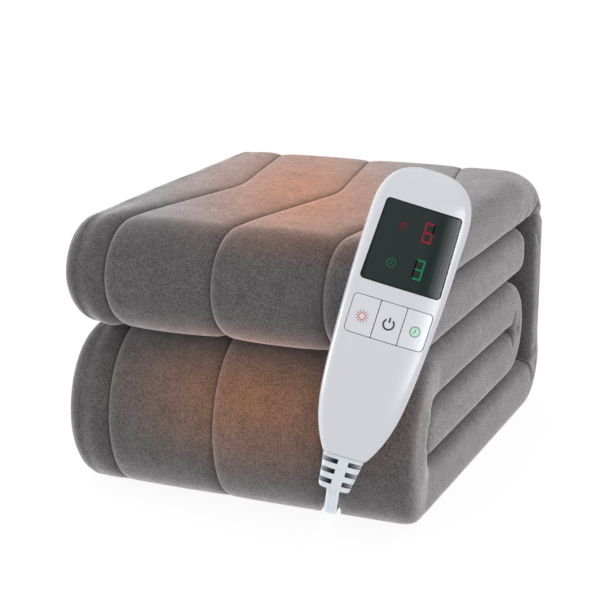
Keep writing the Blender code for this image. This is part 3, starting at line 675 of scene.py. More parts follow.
def fleece_nap():
    """Brushed fleece: flecked colour and the height of its short tufts."""
    group, entry, leave = new_group(
        "fleece_nap",
        (("Nap", "NodeSocketColor", (0.2, 0.2, 0.2, 1.0)),
         ("Flecks", "NodeSocketColor", (0.1, 0.1, 0.1, 1.0)),
         ("Tuft Size", "NodeSocketFloat", 0.0012), ("Fleck Amount", "NodeSocketFloat", 0.5)),
        (("Colour", "NodeSocketColor"), ("Height", "NodeSocketFloat")),
    )
    where = object_space(group)
    per_metre = calculate(group, "DIVIDE", 1.0, entry["Tuft Size"])
    tufts = noise(group, where, per_metre, 2.0, 0.6)
    fibres = noise(group, where, calculate(group, "MULTIPLY", per_metre, 2.3), 2.0, 0.7)
    clouds = calculate(group, "ADD", noise(group, where, 38.0, 3.0), noise(group, where, 150.0))
    coarse = calculate(group, "MULTIPLY", remap(group, tufts, 0.58, 0.40), 0.55)
    fine = calculate(group, "MULTIPLY", remap(group, fibres, 0.60, 0.38), 0.45)
    mixed = calculate(group, "ADD", coarse, fine)
    amount = calculate(group, "MULTIPLY", mixed, entry["Fleck Amount"])
    flecked = mix_colours(group, amount, entry["Nap"], entry["Flecks"])
    shade = remap(group, clouds, 0.70, 1.30, 0.88, 1.12, "LINEAR")
    group.links.new(scaled(group, flecked, shade), leave["Colour"])
    height = calculate(group, "ADD", tufts, calculate(group, "MULTIPLY", fibres, 0.6))
    group.links.new(height, leave["Height"])
    return group


def moulded_grain():
    """Moulded plastic: faint mottling, uneven gloss and a fine spark-eroded grain."""
    group, entry, leave = new_group(
        "moulded_grain",
        (("Colour", "NodeSocketColor", (0.7, 0.7, 0.7, 1.0)), ("Roughness", "NodeSocketFloat", 0.3),
         ("Grain Size", "NodeSocketFloat", 0.0006), ("Mottling", "NodeSocketFloat", 0.02)),
        (("Colour", "NodeSocketColor"), ("Roughness", "NodeSocketFloat"), ("Height", "NodeSocketFloat")),
    )
    where = object_space(group)
    grain = noise(group, where, calculate(group, "DIVIDE", 1.0, entry["Grain Size"]))
    clouds = noise(group, where, 55.0)
    mottled = calculate(group, "MULTIPLY", calculate(group, "SUBTRACT", clouds, 0.5), entry["Mottling"])
    shade = calculate(group, "ADD", 1.0, mottled)
    group.links.new(scaled(group, entry["Colour"], shade), leave["Colour"])
    uneven = calculate(group, "ADD", 0.9, calculate(group, "MULTIPLY", clouds, 0.2))
    group.links.new(calculate(group, "MULTIPLY", entry["Roughness"], uneven), leave["Roughness"])
    group.links.new(grain, leave["Height"])
    return group


def shared_group(build):
    """Each shared effect is built once; its function has its group's name."""
    return bpy.data.node_groups.get(build.__name__) or build()


def fleece_finish(settings):
    made, tree, shader = new_material(
        "fleece", Roughness=0.95, Specular_IOR_Level=0.12, Sheen_Weight=0.20, Sheen_Roughness=0.45,
        Sheen_Tint=(0.95, 0.93, 0.95, 1.0), Diffuse_Roughness=1.0,
    )
    nap = use_group(tree, shared_group(fleece_nap), {
        "Nap": (*settings.nap_colour, 1.0), "Flecks": (*settings.fleck_colour, 1.0),
        "Tuft Size": 0.0012, "Fleck Amount": 0.84,
    })
    tinted = nap["Colour"]
    # Painted glow: warm patches tint the nap's colour.
    for middle, reach, slant, tint in PAINTED_GLOW_ZONES:
        zone = use_group(tree, shared_group(warm_zone), {"Middle": middle, "Reach": reach, "Slant": slant})
        mask = calculate(tree, "MULTIPLY", zone["Mask"], settings.warm_strength)
        tinted = mix_colours(tree, mask, tinted, (*tint, 1.0), "MULTIPLY")
    # Painted sheen: the nap's colour is brightened where the cloth is seen edge on.
    grazing = add_node(tree, "ShaderNodeLayerWeight", {"Blend": 0.5}).outputs["Facing"]
    lift = calculate(tree, "MULTIPLY", calculate(tree, "POWER", grazing, PAINTED_SHEEN_POWER), PAINTED_SHEEN_LIFT)
    sheen_lit_nap = scaled(tree, tinted, calculate(tree, "ADD", lift, 1.0))
    seam = add_node(tree, "ShaderNodeAttribute", attribute_name="seam").outputs["Fac"]
    darkened = mix_colours(tree, calculate(tree, "MULTIPLY", seam, SEAM_DARKNESS), sheen_lit_nap,
                           (*settings.thread_colour, 1.0))
    tree.links.new(darkened, shader.inputs["Base Color"])
    add_bump(tree, shader, 0.55, 0.0005, nap["Height"])
    return made


def moulded_finish(name, colour, roughness, grain_size, grain_height, mottling=0.02, **sockets):
    """White moulded plastic with its own gloss and grain."""
    made, tree, shader = new_material(name, **sockets)
    grain = use_group(tree, shared_group(moulded_grain), {
        "Colour": (*colour, 1.0), "Roughness": roughness, "Grain Size": grain_size, "Mottling": mottling,
    })
    tree.links.new(grain["Colour"], shader.inputs["Base Color"])
    tree.links.new(grain["Roughness"], shader.inputs["Roughness"])
    add_bump(tree, shader, 0.5, grain_height, grain["Height"])
    return made


def printed_finish(name, colour, glow=0.0, **sockets):
    """Printed or lit sign: flat ink with a faint grain, or a light behind the window."""
    ink = [0.06 * c for c in colour] if glow else colour
    made = moulded_finish(name, ink, 0.35, 0.0004, 0.00001, 0.05, **sockets)
    if glow:
        shader = made.node_tree.nodes["Principled BSDF"]
        shader.inputs["Emission Color"].default_value = (*colour, 1.0)
        shader.inputs["Emission Strength"].default_value = glow
    return made


# ------------------------------------------------------------------ pad
def fold_stations():
    """Stations along the pad's middle surface: rows of path length, y, z and heading."""
    front = -PACK_DEPTH / 2 + STRIP_THICK / 2
    back = PACK_DEPTH / 2 - STRIP_THICK / 2
    upper_y = front + LAYER_PITCH / 2
    lower_y = front + LAYER_PITCH
    corner_y = back - BACK_FOLD_RADIUS
    tight = LAYER_PITCH / 2
    inner_y = INNER_FOLD_Y - STRIP_THICK / 2 - tight
    rise = 4 * LAYER_PITCH - 2 * BACK_FOLD_RADIUS
    # Rows: length of a straight stretch or radius of a turn, turn in degrees, steps.
    steps = (
        (TUCKED_END_Y - upper_y, 0, 40),
        (tight, 180, 36),
        (corner_y - upper_y, 0, 92),
        (BACK_FOLD_RADIUS, 90, 18),
        (rise, 0, 40),
        (BACK_FOLD_RADIUS, 90, 18),
        (corner_y - lower_y, 0, 30),
        (LAYER_PITCH, 180, 48),
        (inner_y - lower_y, 0, 38),
        (tight, 180, 22),
        (inner_y - LOWER_END_Y, 0, 38),
    )
    y, z, heading = TUCKED_END_Y, STRIP_THICK / 2 + 3 * LAYER_PITCH, pi
    length = -(TUCKED_END_Y - upper_y) - pi * tight
    stations = [(length, y, z, heading)]
    for size, turn, count in steps:
        step_turn = radians(turn) / count
        for _ in range(count):
            chord = 2 * size * sin(step_turn / 2) if turn else size / count
            heading -= step_turn / 2
            y += chord * cos(heading)
            z += chord * sin(heading)
            heading -= step_turn / 2
            length += size * step_turn if turn else size / count
            stations.append((length, y, z, heading))
    return round_ends(stations)


def round_ends(stations):
    """Rows of station and fullness, with closer stations at both free ends."""
    ends = [(END_ROUND_LENGTH * share, max(THINNEST_END, sqrt(1 - (1 - share) ** 2))) for share in END_SHARES]
    (s0, y0, z0, h0), (s1, y1, z1, h1) = stations[0], stations[-1]
    first, last = s0 + END_ROUND_LENGTH + LEAST_STATION_GAP, s1 - END_ROUND_LENGTH - LEAST_STATION_GAP
    rows = [(s0 + d, y0 + d * cos(h0), z0 + d * sin(h0), h0, full) for d, full in ends]
    rows += [(*row, 1.0) for row in stations if first < row[0] < last]
    rows += [(s1 - d, y1 - d * cos(h1), z1 - d * sin(h1), h1, full) for d, full in reversed(ends)]
    return np.array(rows)


def seam_places(length):
    """Where the three stitched lines cross at a path length."""
    nearby = length + np.linspace(-ZIGZAG_ROUNDING, ZIGZAG_ROUNDING, 9)
    return np.array(SEAMS_X) + read_table(SEAM_ZIGZAG, nearby).mean()


def quilted_face(length, left, right, settings):
    """Columns over the outer ply: across, height above its flat face, seam mask."""
    seams = seam_places(length)
    relief = read_table(QUILT_RELIEF, length)
    edges = [left, *seams, right]
    across, crown = [], []
    for panel, count in enumerate(PANEL_COLUMNS):
        t = 0.5 - 0.5 * np.cos(pi * np.arange(count) / count)
        across.append(edges[panel] + (edges[panel + 1] - edges[panel]) * t)
        share = EDGE_CROWN_SHARE if panel == 3 else 1.0
        rise = soft_step(2 * t) if panel == 0 else 1.0
        crown.append(share * rise * (1 - np.abs(2 * t - 1) ** CROWN_POWER))
    across = np.concatenate(across + [[right]])
    height = np.concatenate(crown + [[0.0]]) * settings.crown * relief
    mask = np.zeros_like(across)
    trough = read_table(TROUGH_RUN, length)
    for index, seam in enumerate(seams):
        away = np.abs(across - seam)
        notch = np.clip(1 - away / SEAM_HALF_WIDTH, 0, 1) ** SEAM_SOFTNESS * settings.seam_depth
        pinch = np.clip(1 - away / STITCH_HALF_WIDTH, 0, 1)
        sunk = (notch + pinch * STITCH_PINCH) * relief
        if index == CABLE_SEAM:
            aside = np.abs(across - read_table(TROUGH_LINE, length))
            bed = soft_step((TROUGH_HALF_WIDTH + TROUGH_WALL - aside) / TROUGH_WALL) * TROUGH_DEPTH
            sunk = sunk * (1 - trough) + bed * trough
            pinch = pinch * (1 - trough)
        height -= sunk
        mask = np.maximum(mask, pinch)
    return across, height, mask


def straight(start, end, count):
    """Places from start towards end, the end left out."""
    return start + (end - start) * np.arange(count) / count


def round_profile(count, squareness, first, last):
    """Unit points and outward normals round a squarish arc, in degrees, both ends kept."""
    angle = np.radians(np.linspace(first, last, count))
    x, w = np.cos(angle), np.sin(angle)
    reach = (np.abs(x) ** squareness + np.abs(w) ** squareness) ** (-1 / squareness)
    points = np.stack((x * reach, w * reach), 1)
    steep = np.sign(points) * np.abs(points) ** (squareness - 1)
    return points, steep / np.linalg.norm(steep, axis=1, keepdims=True)


def pad_section(length, fullness, settings):
    """One ring of the strip folded in three.

    Columns: across, outwards, normal across, normal outwards, height over the side's
    middle (along the cloth), seam mask, and 1 where the face can show.
    """
    half = PLY_THICK / 2
    outer = STRIP_THICK / 2 - half
    turn = outer / 2
    left = -PACK_WIDTH / 2 + turn + half + read_table(LEFT_SETBACK, length)
    side = PACK_WIDTH / 2 - read_table(SIDE_SETBACK, length) - END_CORNER * (1 - fullness)
    side_radius = STRIP_THICK / 2
    right = side - side_radius
    start = right - MIDDLE_PLY_SETBACK
    hem = left - turn - half + HEM_SETBACK
    rows = []

    def run(xs, ws, normal):
        for x, w in zip(xs, np.broadcast_to(ws, xs.shape)):
            rows.append((x, w, *normal, 0.0, 0.0, 0.0))

    def turn_round(centre_x, centre_w, radius, first, last, count, shows=0.0):
        for point, normal in zip(*round_profile(count, 2.0, first, last)):
            x, w = centre_x + radius * point[0], centre_w + radius * point[1]
            rows.append((x, w, *normal, 0.0, 0.0, shows))

    turn_round(start, 0.0, half, 60, -60, 3)
    run(straight(start - 0.002, left, 6), -half, (0, -1))
    turn_round(left, turn, turn + half, -90, -269, 18, 1.0)
    rounding = read_table(OUTER_ROUNDING, length)
    for x, up, seam in zip(*quilted_face(length, left, right - rounding, settings)):
        rows.append((x, outer + half + up, 0.0, 1.0, right - x + side_radius * pi / 2, seam, 1.0))
    swell = read_table(INNER_SWELL, length) * (1 + SWELL_RIPPLE * sin(2 * pi * length / SWELL_RIPPLE_LENGTH))
    for column, first, reach in ((1, 90, side_radius + rounding), (2, 0, side_radius)):
        squareness = read_table(SIDE_SQUARENESS, length, column)
        points, normals = round_profile(SIDE_STEPS + 1, squareness, first, first - 90)
        for k in range(1, SIDE_STEPS + 1):
            over = side_radius * radians(first - 90 * k / SIDE_STEPS)
            x = side - reach * (1 - points[k][0])
            w = side_radius * points[k][1] + min(0.0, points[k][1]) * swell
            rows.append((x, w, *normals[k], over, 0.0, 1.0))
    under = straight(right - 0.004, hem, 8)
    run(under, -outer - half - swell * soft_step(1 - (right - under) / SWELL_REACH), (0, -1))
    turn_round(hem, -outer, half, -90, -270, 7)
    run(straight(hem + 0.004, right, 7), -outer + half, (0, 1))
    turn_round(right, 0.0, outer - half, -90, 90, 9)
    run(straight(right - 0.004, left, 8), outer - half, (0, -1))
    turn_round(left, turn, turn - half, -270, -90, 4)
    run(straight(left + 0.004, start, 7), half, (0, 1))
    return np.array(rows)


def roll_stretch(length):
    """How much further out the strip's outer face lies where the lower roll sags."""
    return 1 + read_table(ROLL_SAG, length) / (STRIP_THICK / 2)


def crease_depth(length, over):
    """How far the creases sink the cloth at arrays of path length and height."""
    sunk = np.zeros_like(length)
    for s0, a0, s1, a1, width, depth in CREASES:
        along = np.array((s1 - s0, a1 - a0))
        t = ((length - s0) * along[0] + (over - a0) * along[1]) / along.dot(along)
        t = np.clip(t, 0, 1)
        away = np.hypot(length - s0 - along[0] * t, over - a0 - along[1] * t)
        lip = CREASE_LIP * np.exp(-((away / width - CREASE_LIP_AT) ** 2))
        sunk += depth * (np.exp(-(away / width) ** 2) - lip)
    return sunk


def pad_points(stations, settings):
    """All rings of the pad as an array of points, with the seam mask."""
    sections = np.array([pad_section(row[0], row[4], settings) for row in stations])
    x, w, nx, nw, over, seam, shows = np.moveaxis(sections, 2, 0)
    length = np.broadcast_to(stations[:, :1], x.shape)
    swell = np.zeros_like(x)
    for wave_length, wave_over, phase in UNEVEN_WAVES:
        across = np.cos(2 * pi * (over + x) / wave_over + phase)
        swell += np.sin(2 * pi * length / wave_length + phase) * across
    free = np.maximum(LEAST_UNEVEN, read_table(QUILT_RELIEF, length))
    lift = shows * (UNEVENNESS * swell / len(UNEVEN_WAVES) * free - crease_depth(length, over))
    x = x + nx * lift
    w = (w + nw * lift) * stations[:, 4:5] * np.where(w > 0, roll_stretch(stations[:, :1]), 1.0)
    heading = stations[:, 3:4]
    y = stations[:, 1:2] - w * np.sin(heading)
    z = stations[:, 2:3] + w * np.cos(heading)
    return np.stack((x, y, np.maximum(z, 0.0)), 2), seam


def end_caps(section):
    """Triangles that close a ring, as places in it."""
    flat = [Vector((x, w, 0.0)) for x, w in section]
    return [list(triangle) for triangle in tessellate_polygon([flat])]


def build_pad(settings):
    stations = fold_stations()
    points, seam = pad_points(stations, settings)
    caps = end_caps(pad_section(stations[0][0], 1.0, settings)[:, :2])
    mesh = loft(points, "fleece_pad", caps)
    mask = mesh.attributes.new("seam", "FLOAT", "POINT")
    mask.data.foreach_set("value", seam.astype(np.float32).ravel())
    smooth(mesh)
    pad = place("fleece_pad", mesh, fleece_finish(settings), stands_for=("blanket",))


def station_at(stations, length):
    """Middle point and heading at a path length."""
    return [np.interp(length, stations[:, 0], stations[:, k]) for k in (1, 2, 3)]


def build_stitches(settings):
    """Short thread stitches in the bottom of each quilting line."""
    stations = fold_stations()
    sunk = settings.seam_depth + STITCH_PINCH
    points, faces = [], []
    for first, last in STITCHED_RUNS:
        for k in range(int((last - first) / THREAD_PITCH)):
            middle = first + (k + 0.5) * THREAD_PITCH
            height = STRIP_THICK / 2 - sunk * read_table(QUILT_RELIEF, middle)
            for index in range(len(SEAMS_X)):
                if index != CABLE_SEAM or read_table(TROUGH_RUN, middle) <= 0:
                    add_stitch(points, faces, stations, middle, index, height)
    finish = moulded_finish("quilting_thread", settings.thread_colour, 0.85, 0.0003, 0.0001, 0.3)
    mesh = mesh_from(points, faces, "seam_stitches")
    smooth(mesh, 60)
    place("seam_stitches", mesh, finish)


def add_stitch(points, faces, stations, middle, index, height):
    start = len(points)
    for along, full in STITCH_SHAPE:
        length = middle + along * THREAD_LENGTH
        x = seam_places(length)[index]
        y, z, heading = station_at(stations, length)
        lift = height * roll_stretch(length) + THREAD_LIFT
        for k in range(4):
            angle = pi / 2 * k
            across = x + THREAD_THICK * cos(angle) * full
            up = lift + THREAD_THICK * THREAD_FLATNESS * sin(angle) * full
            points.append((across, y - up * sin(heading), max(0.0, z + up * cos(heading))))
    faces.extend(tube_faces(len(STITCH_SHAPE), 4, start))


# ------------------------------------------------------------------ hand control
def control_matrix():
    """Pose of the control: it leans its back on the upper roll's right front corner."""
    normal = Vector((
        sin(CONTROL_AZIMUTH) * cos(CONTROL_LEAN),
        -cos(CONTROL_AZIMUTH) * cos(CONTROL_LEAN),
        sin(CONTROL_LEAN),
    ))
    level = Vector((cos(CONTROL_AZIMUTH), sin(CONTROL_AZIMUTH), 0.0))
    rising = normal.cross(level)
    up = rising * cos(CONTROL_ROLL) + level * sin(CONTROL_ROLL)
    across = level * cos(CONTROL_ROLL) - rising * sin(CONTROL_ROLL)
    side_radius = STRIP_THICK / 2
    roll_radius = (LAYER_PITCH + STRIP_THICK) / 2
    corner = Vector((
        PACK_WIDTH / 2 - side_radius,
        -PACK_DEPTH / 2 + roll_radius,
        3.5 * LAYER_PITCH + STRIP_THICK / 2,
    ))
    facing = Vector((0.0, normal.y, normal.z)).normalized()
    contact = corner + (roll_radius - side_radius) * facing + side_radius * normal
    origin = contact + normal * (SHELL_BACK + TOUCH_GAP) - across * CONTACT_ACROSS - up * CONTACT_UP
    turned = Matrix((across, up, normal)).transposed().to_4x4()
    return Matrix.Translation(origin) @ turned


CONTROL = control_matrix()


def shell_half_width(up):
    if up <= END_ROUND_START:
        return float(read_smoothly(SHELL_SIDES, up))
    reach = min(1.0, (up - END_ROUND_START) / (SHELL_LENGTH - END_ROUND_START))
    return SHELL_SIDES[-1][1] * (1 - reach**END_ROUND_POWER) ** (1 / END_ROUND_POWER)


def shell_depth(up, full):
    """The shell is thinner at the cable end and rounds off at the far end."""
    rising = min(1.0, up / SHELL_FULL_DEPTH_AT)
    depth = SHELL_FOOT_DEPTH + (full - SHELL_FOOT_DEPTH) * (2 * rising - rising**2)
    reach = max(0.0, (up - END_THINS_FROM) / (SHELL_LENGTH - END_THINS_FROM))
    return depth * sqrt(1 - END_THINNING * reach**END_THINNING_POWER)


def face_height(across, up):
    """Height of the control's crowned front face."""
    width = shell_half_width(up)
    share = max(0.0, 1 - (abs(across) / width) ** SHELL_SQUARENESS)
    return PARTING_GAP / 2 + shell_depth(up, SHELL_FRONT) * share ** (1 / SHELL_SQUARENESS)


def half_shell(name, full, side):
    """One half of the shell, lofted along its length; side is +1 front, -1 back."""
    span = SHELL_LENGTH - END_ROUND_START
    rows = list(np.linspace(0.0, END_ROUND_START, SHELL_RINGS))[1:]
    rows += [END_ROUND_START + span * sin(pi / 2 * i / SHELL_HEAD_RINGS) for i in range(1, SHELL_HEAD_RINGS)]
    rows.append(SHELL_LENGTH - END_FLAT)
    rings = []
    for up, share in [*FOOT_EASE, *((up, 1.0) for up in rows)]:
        width, depth = shell_half_width(up) * share, shell_depth(up, full) * share
        ring = [(width, up, side * PARTING_GAP / 2)]
        for i in range(1, SHELL_COLUMNS):
            x, z = squarish(pi * i / SHELL_COLUMNS, SHELL_SQUARENESS)
            ring.append((width * x, up, side * (PARTING_GAP / 2 + depth * z)))
        rings.append(ring + [(-width, up, side * PARTING_GAP / 2)])
    return loft(rings, name)


def rounded_outline(corners, radii, spacing=0.0012, corner_steps=8):
    """Round a convex anticlockwise outline and divide its long edges."""
    points = [Vector(corner) for corner in corners]
    outline = []
    for i, (here, radius) in enumerate(zip(points, radii)):
        before, after = points[i - 1], points[(i + 1) % len(points)]
        incoming, outgoing = (before - here).normalized(), (after - here).normalized()
        half_angle = incoming.angle(outgoing) / 2
        reach = radius / sin(half_angle)
        centre = here + (incoming + outgoing).normalized() * reach
        start = here + incoming * (reach * cos(half_angle)) - centre
        for k in range(corner_steps + 1):
            turned = start.copy()
            turned.rotate(Matrix.Rotation((pi - 2 * half_angle) * k / corner_steps, 2))
            outline.append(centre + turned)
    divided = []
    for here, after in zip(outline, outline[1:] + outline[:1]):
        pieces = max(1, round((after - here).length / spacing))
        divided += [tuple(here.lerp(after, k / pieces)) for k in range(pieces)]
    return divided


def window_corners(grow=0.0):
    return [
        (-WINDOW_HALF_FOOT - grow, WINDOW_BOTTOM - grow), (WINDOW_HALF_FOOT + grow, WINDOW_BOTTOM - grow),
        (WINDOW_HALF_HEAD + grow, WINDOW_TOP + grow), (-WINDOW_HALF_HEAD - grow, WINDOW_TOP + grow),
    ]


def key_corners(left, right, grow=0.0):
    return [
        (left - grow, KEY_BOTTOM - grow), (right + grow, KEY_BOTTOM - grow),
        (right + grow, KEY_TOP + grow), (left - grow, KEY_TOP + grow),
    ]


def key_spans():
    """Left and right edge of each of the three keys."""
    pitch = 2 * KEYPAD_HALF / 3
    spans = []
    for i in range(3):
        left = -KEYPAD_HALF + i * pitch + (KEY_SLIT / 2 if i else 0.0)
        right = -KEYPAD_HALF + (i + 1) * pitch - (KEY_SLIT / 2 if i < 2 else 0.0)
        spans.append((left, right))
    return spans


def cut_from(mesh, cutters, name):
    """Subtract closed meshes and return the result as a new mesh."""
    target = add_object(name, mesh)
    helpers = []
    for index, cutter in enumerate(cutters):
        helper = add_object(f"{name}_cutter_{index}", cutter)
        modifier = target.modifiers.new(helper.name, "BOOLEAN")
        modifier.operation = "DIFFERENCE"
        modifier.solver = "EXACT"
        modifier.material_mode = "TRANSFER"
        modifier.object = helper
        helpers.append(helper)
    evaluated = target.evaluated_get(bpy.context.evaluated_depsgraph_get())
    result = bpy.data.meshes.new_from_object(evaluated)
    for made in (target, *helpers):
        bpy.data.objects.remove(made, do_unlink=True)
    result.name = name
    return result


def prism(outline, low, high, name, finish):
    rings = [[(x, y, level) for x, y in outline] for level in (low, high)]
    made = loft(rings, name)
    made.materials.append(finish)
    return made


def crowned_insert(outline, floor, name):
    """A plate that fills an outline flush with the control's face, its edges eased."""
    edge = np.array(outline)
    tangent = np.roll(edge, -1, 0) - np.roll(edge, 1, 0)
    tangent /= np.linalg.norm(tangent, axis=1, keepdims=True)
    inward = np.stack((-tangent[:, 1], tangent[:, 0]), 1)
    middle = edge.mean(0)
    inner = edge + inward * EDGE_EASE
    levels = [(edge + inward * EDGE_EASE * inset, EDGE_EASE * drop) for inset, drop in EASED_EDGE]
    levels += [(middle + (inner - middle) * share, 0.0) for share in INSERT_RINGS]
    rings = [[(x, y, floor) for x, y in edge]]
    rings += [[(x, y, face_height(x, y) - drop) for x, y in ring] for ring, drop in levels]
    mesh = loft(rings, name)
    mesh.transform(CONTROL)
    smooth(mesh, 50)
    return mesh


def build_shell(settings):
    shell = moulded_finish("shell_plastic", settings.shell_colour, 0.20, 0.0009, 0.000012,
                           Specular_IOR_Level=0.28)
    shade = moulded_finish("recess_shade", (0.015, 0.017, 0.020), 0.7, 0.0005, 0.00002)
    recesses = []
    for name, corners, radius, floor in (
        ("window_recess", window_corners(FIT_GAP), WINDOW_CORNER, WINDOW_FLOOR - FIT_GAP),
        ("keypad_recess", key_corners(-KEYPAD_HALF, KEYPAD_HALF, FIT_GAP), KEY_CORNER,
         KEY_FLOOR - KEY_TRAVEL_ROOM),
    ):
        outline = rounded_outline(corners, [radius + FIT_GAP] * 4)
        recesses.append(prism(outline, floor, SHELL_FRONT + RECESS_HEADROOM, name, shade))
    solid = half_shell("control_front_shell", SHELL_FRONT, 1)
    solid.materials.append(shell)
    front = cut_from(solid, recesses, "control_front_shell")
    back = half_shell("control_back_shell", SHELL_BACK, -1)
    for mesh, node in ((front, "control_front"), (back, "control_back")):
        smooth(mesh, 32)
        mesh.transform(CONTROL)
        place(mesh.name, mesh, shell, stands_for=(node,))


# ------------------------------------------------------------------ prints on the control
def add_ribbon(points, faces, line, width, closed=False):
    """A thin printed stroke that follows the control's face."""
    line = np.array(line, float)
    tangent = np.roll(line, -1, 0) - np.roll(line, 1, 0) if closed else np.gradient(line, axis=0)
    tangent /= np.linalg.norm(tangent, axis=1, keepdims=True)
    start = len(points)
    for (x, y), (tx, ty) in zip(line, tangent):
        for side, height in ((1, PRINT_HEIGHT), (-1, PRINT_HEIGHT), (-1, -PRINT_SINK), (1, -PRINT_SINK)):
            px, py = x - ty * side * width / 2, y + tx * side * width / 2
            points.append((px, py, face_height(px, py) + height))
    if closed:
        last = start + 4 * (len(line) - 1)
        faces.extend(ring_faces(len(line), 4, start))
        faces.extend((last + i, last + (i + 1) % 4, start + (i + 1) % 4, start + i) for i in range(4))
    else:
        faces.extend(tube_faces(len(line), 4, start))


def add_disc(points, faces, middle, radius, sides=28):
    start = len(points)
    for height in (PRINT_HEIGHT * 0.6, -PRINT_SINK):
        for k in range(sides):
            x = middle[0] + radius * cos(2 * pi * k / sides)
            y = middle[1] + radius * sin(2 * pi * k / sides)
            points.append((x, y, face_height(x, y) + height))
    faces.extend(tube_faces(2, sides, start))


def circle(middle, radius, first=0.0, last=360.0, count=36):
    angles = np.radians(np.linspace(first, last, count, endpoint=last - first < 360))
    return np.stack((middle[0] + radius * np.cos(angles), middle[1] + radius * np.sin(angles)), 1)


def place_print(name, strokes, finish, body="root"):
    """Print strokes on the control; each row is a drawing function and what it draws."""
    points, faces = [], []
    for draw, *given in strokes:
        draw(points, faces, *given)
    mesh = mesh_from(points, faces, name)
    mesh.transform(CONTROL)
    place(name, mesh, finish, body)


def add_digit(points, faces, middle, bars):
    for bar in bars:
        start, end = (
            np.array((x * DIGIT_HALF_WIDTH, y * DIGIT_HALF_HEIGHT)) + middle for x, y in DIGIT_BARS[bar]
        )
        reach = (end - start) / np.linalg.norm(end - start) * (DIGIT_STROKE * 0.42)
        add_ribbon(points, faces, np.linspace(start - reach, end + reach, 5), DIGIT_STROKE)


def add_sun(points, faces, middle, core, ray_from, ray_to, rays, stroke):
    add_ribbon(points, faces, circle(middle, core), stroke, closed=True)
    for k in range(rays):
        angle = 2 * pi * k / rays
        heading = np.array((cos(angle), sin(angle)))
        add_ribbon(points, faces, [middle + heading * ray_from, middle + heading * ray_to], stroke)


def add_clock(points, faces, middle, radius, stroke):
    add_ribbon(points, faces, circle(middle, radius), stroke, closed=True)
    hands = [np.array(middle) + radius * np.array(end) for end in CLOCK_HANDS]
    add_ribbon(points, faces, hands[:2], stroke)
    add_ribbon(points, faces, hands[1:], stroke)


def add_power_sign(points, faces, middle):
    add_ribbon(points, faces, circle(middle, POWER_RADIUS, *POWER_OPENING), POWER_STROKE)
    ends = [np.array(middle) + (0, up) for up in POWER_BAR]
    add_ribbon(points, faces, np.linspace(*ends, 4), POWER_STROKE)


def build_display(settings):
    """The window and what it shows."""
    outline = rounded_outline(window_corners(), [WINDOW_CORNER] * 4)
    mesh = crowned_insert(outline, WINDOW_FLOOR, "display_glass")
    glass = moulded_finish("window_plastic", settings.window_colour, 0.14, 0.0008, 0.000004,
                           Specular_IOR_Level=0.20)
    place("display_glass", mesh, glass, stands_for=("display_window",))
    heat, timer, dim_heat, dim_timer = (
        printed_finish(name, colour, settings.light_strength * share, Specular_IOR_Level=0.1)
        for name, colour, share in (
            ("heat_light", settings.heat_light, 1.0), ("timer_light", settings.timer_light, 1.0),
            ("dim_heat_light", settings.heat_light, DIM_HEAT),
            ("dim_timer_light", settings.timer_light, DIM_TIMER),
        )
    )
    unlit = printed_finish("unlit_bars", (0.001, 0.001, 0.001), Specular_IOR_Level=0.02)
    dark_bars = []
    for name, middle, value, finish in (
        ("heat_digit", HEAT_DIGIT_AT, settings.heat_level, heat),
        ("timer_digit", TIMER_DIGIT_AT, settings.timer_hours, timer),
    ):
        place_print(name, [(add_digit, middle, LIT_BARS[value])], finish)
        dark_bars.append((add_digit, middle, sorted(set(DIGIT_BARS) - set(LIT_BARS[value]))))
    place_print("unlit_bars", dark_bars, unlit)
    place_print("heat_sign", [(add_sun, HEAT_SIGN_AT, *HEAT_SIGN)], dim_heat)
    place_print("timer_sign", [(add_clock, TIMER_SIGN_AT, *TIMER_SIGN)], dim_timer)


def build_keys(settings):
    finish = moulded_finish("key_plastic", settings.key_colour, 0.30, 0.0007, 0.000012)
    for index, ((node, body), (left, right)) in enumerate(zip(KEYS, key_spans())):
        radii = [KEY_CORNER if index == end else KEY_INNER_CORNER for end in (0, 2, 2, 0)]
        mesh = crowned_insert(rounded_outline(key_corners(left, right), radii), KEY_FLOOR, node + "_cap")
        place(node + "_cap", mesh, finish, body, (node,))
    build_key_signs()


def build_key_signs():
    """Printed signs: sun, power and clock. Rows: name, body, ink, strokes."""
    for name, body, ink, strokes in (
        ("heat_key_disc", "heat_key", "rose_print", [(add_disc, HEAT_KEY_AT, 0.0016)]),
        ("heat_key_sun", "heat_key", "red_print", [(add_sun, HEAT_KEY_AT, *HEAT_KEY_SUN)]),
        ("power_key_sign", "power_key", "dark_print", [(add_power_sign, POWER_KEY_AT)]),
        ("timer_key_face", "timer_key", "pale_print", [(add_disc, TIMER_KEY_AT, 0.0028)]),
        ("timer_key_clock", "timer_key", "green_print", [(add_clock, TIMER_KEY_AT, *TIMER_KEY_CLOCK)]),
    ):
        place_print(name, strokes, printed_finish(ink, INKS[ink]), body)


# ------------------------------------------------------------------ strain relief
def relief_finish(settings):
    return moulded_finish("relief_plastic", settings.relief_colour, 0.42, 0.0007, 0.00003)


def rounded_box(size, ease, name, finish):
    """A box with rounded edges, as a closed mesh about its middle."""
    working = bmesh.new()
    bmesh.ops.create_cube(working, size=1.0, matrix=Matrix.Diagonal((*size, 1.0)))
    bmesh.ops.bevel(working, geom=working.edges[:], offset=ease, segments=3, profile=0.5, affect="EDGES")
    made = bpy.data.meshes.new(name)
    working.to_mesh(made)
    working.free()
    made.materials.append(finish)
    return made


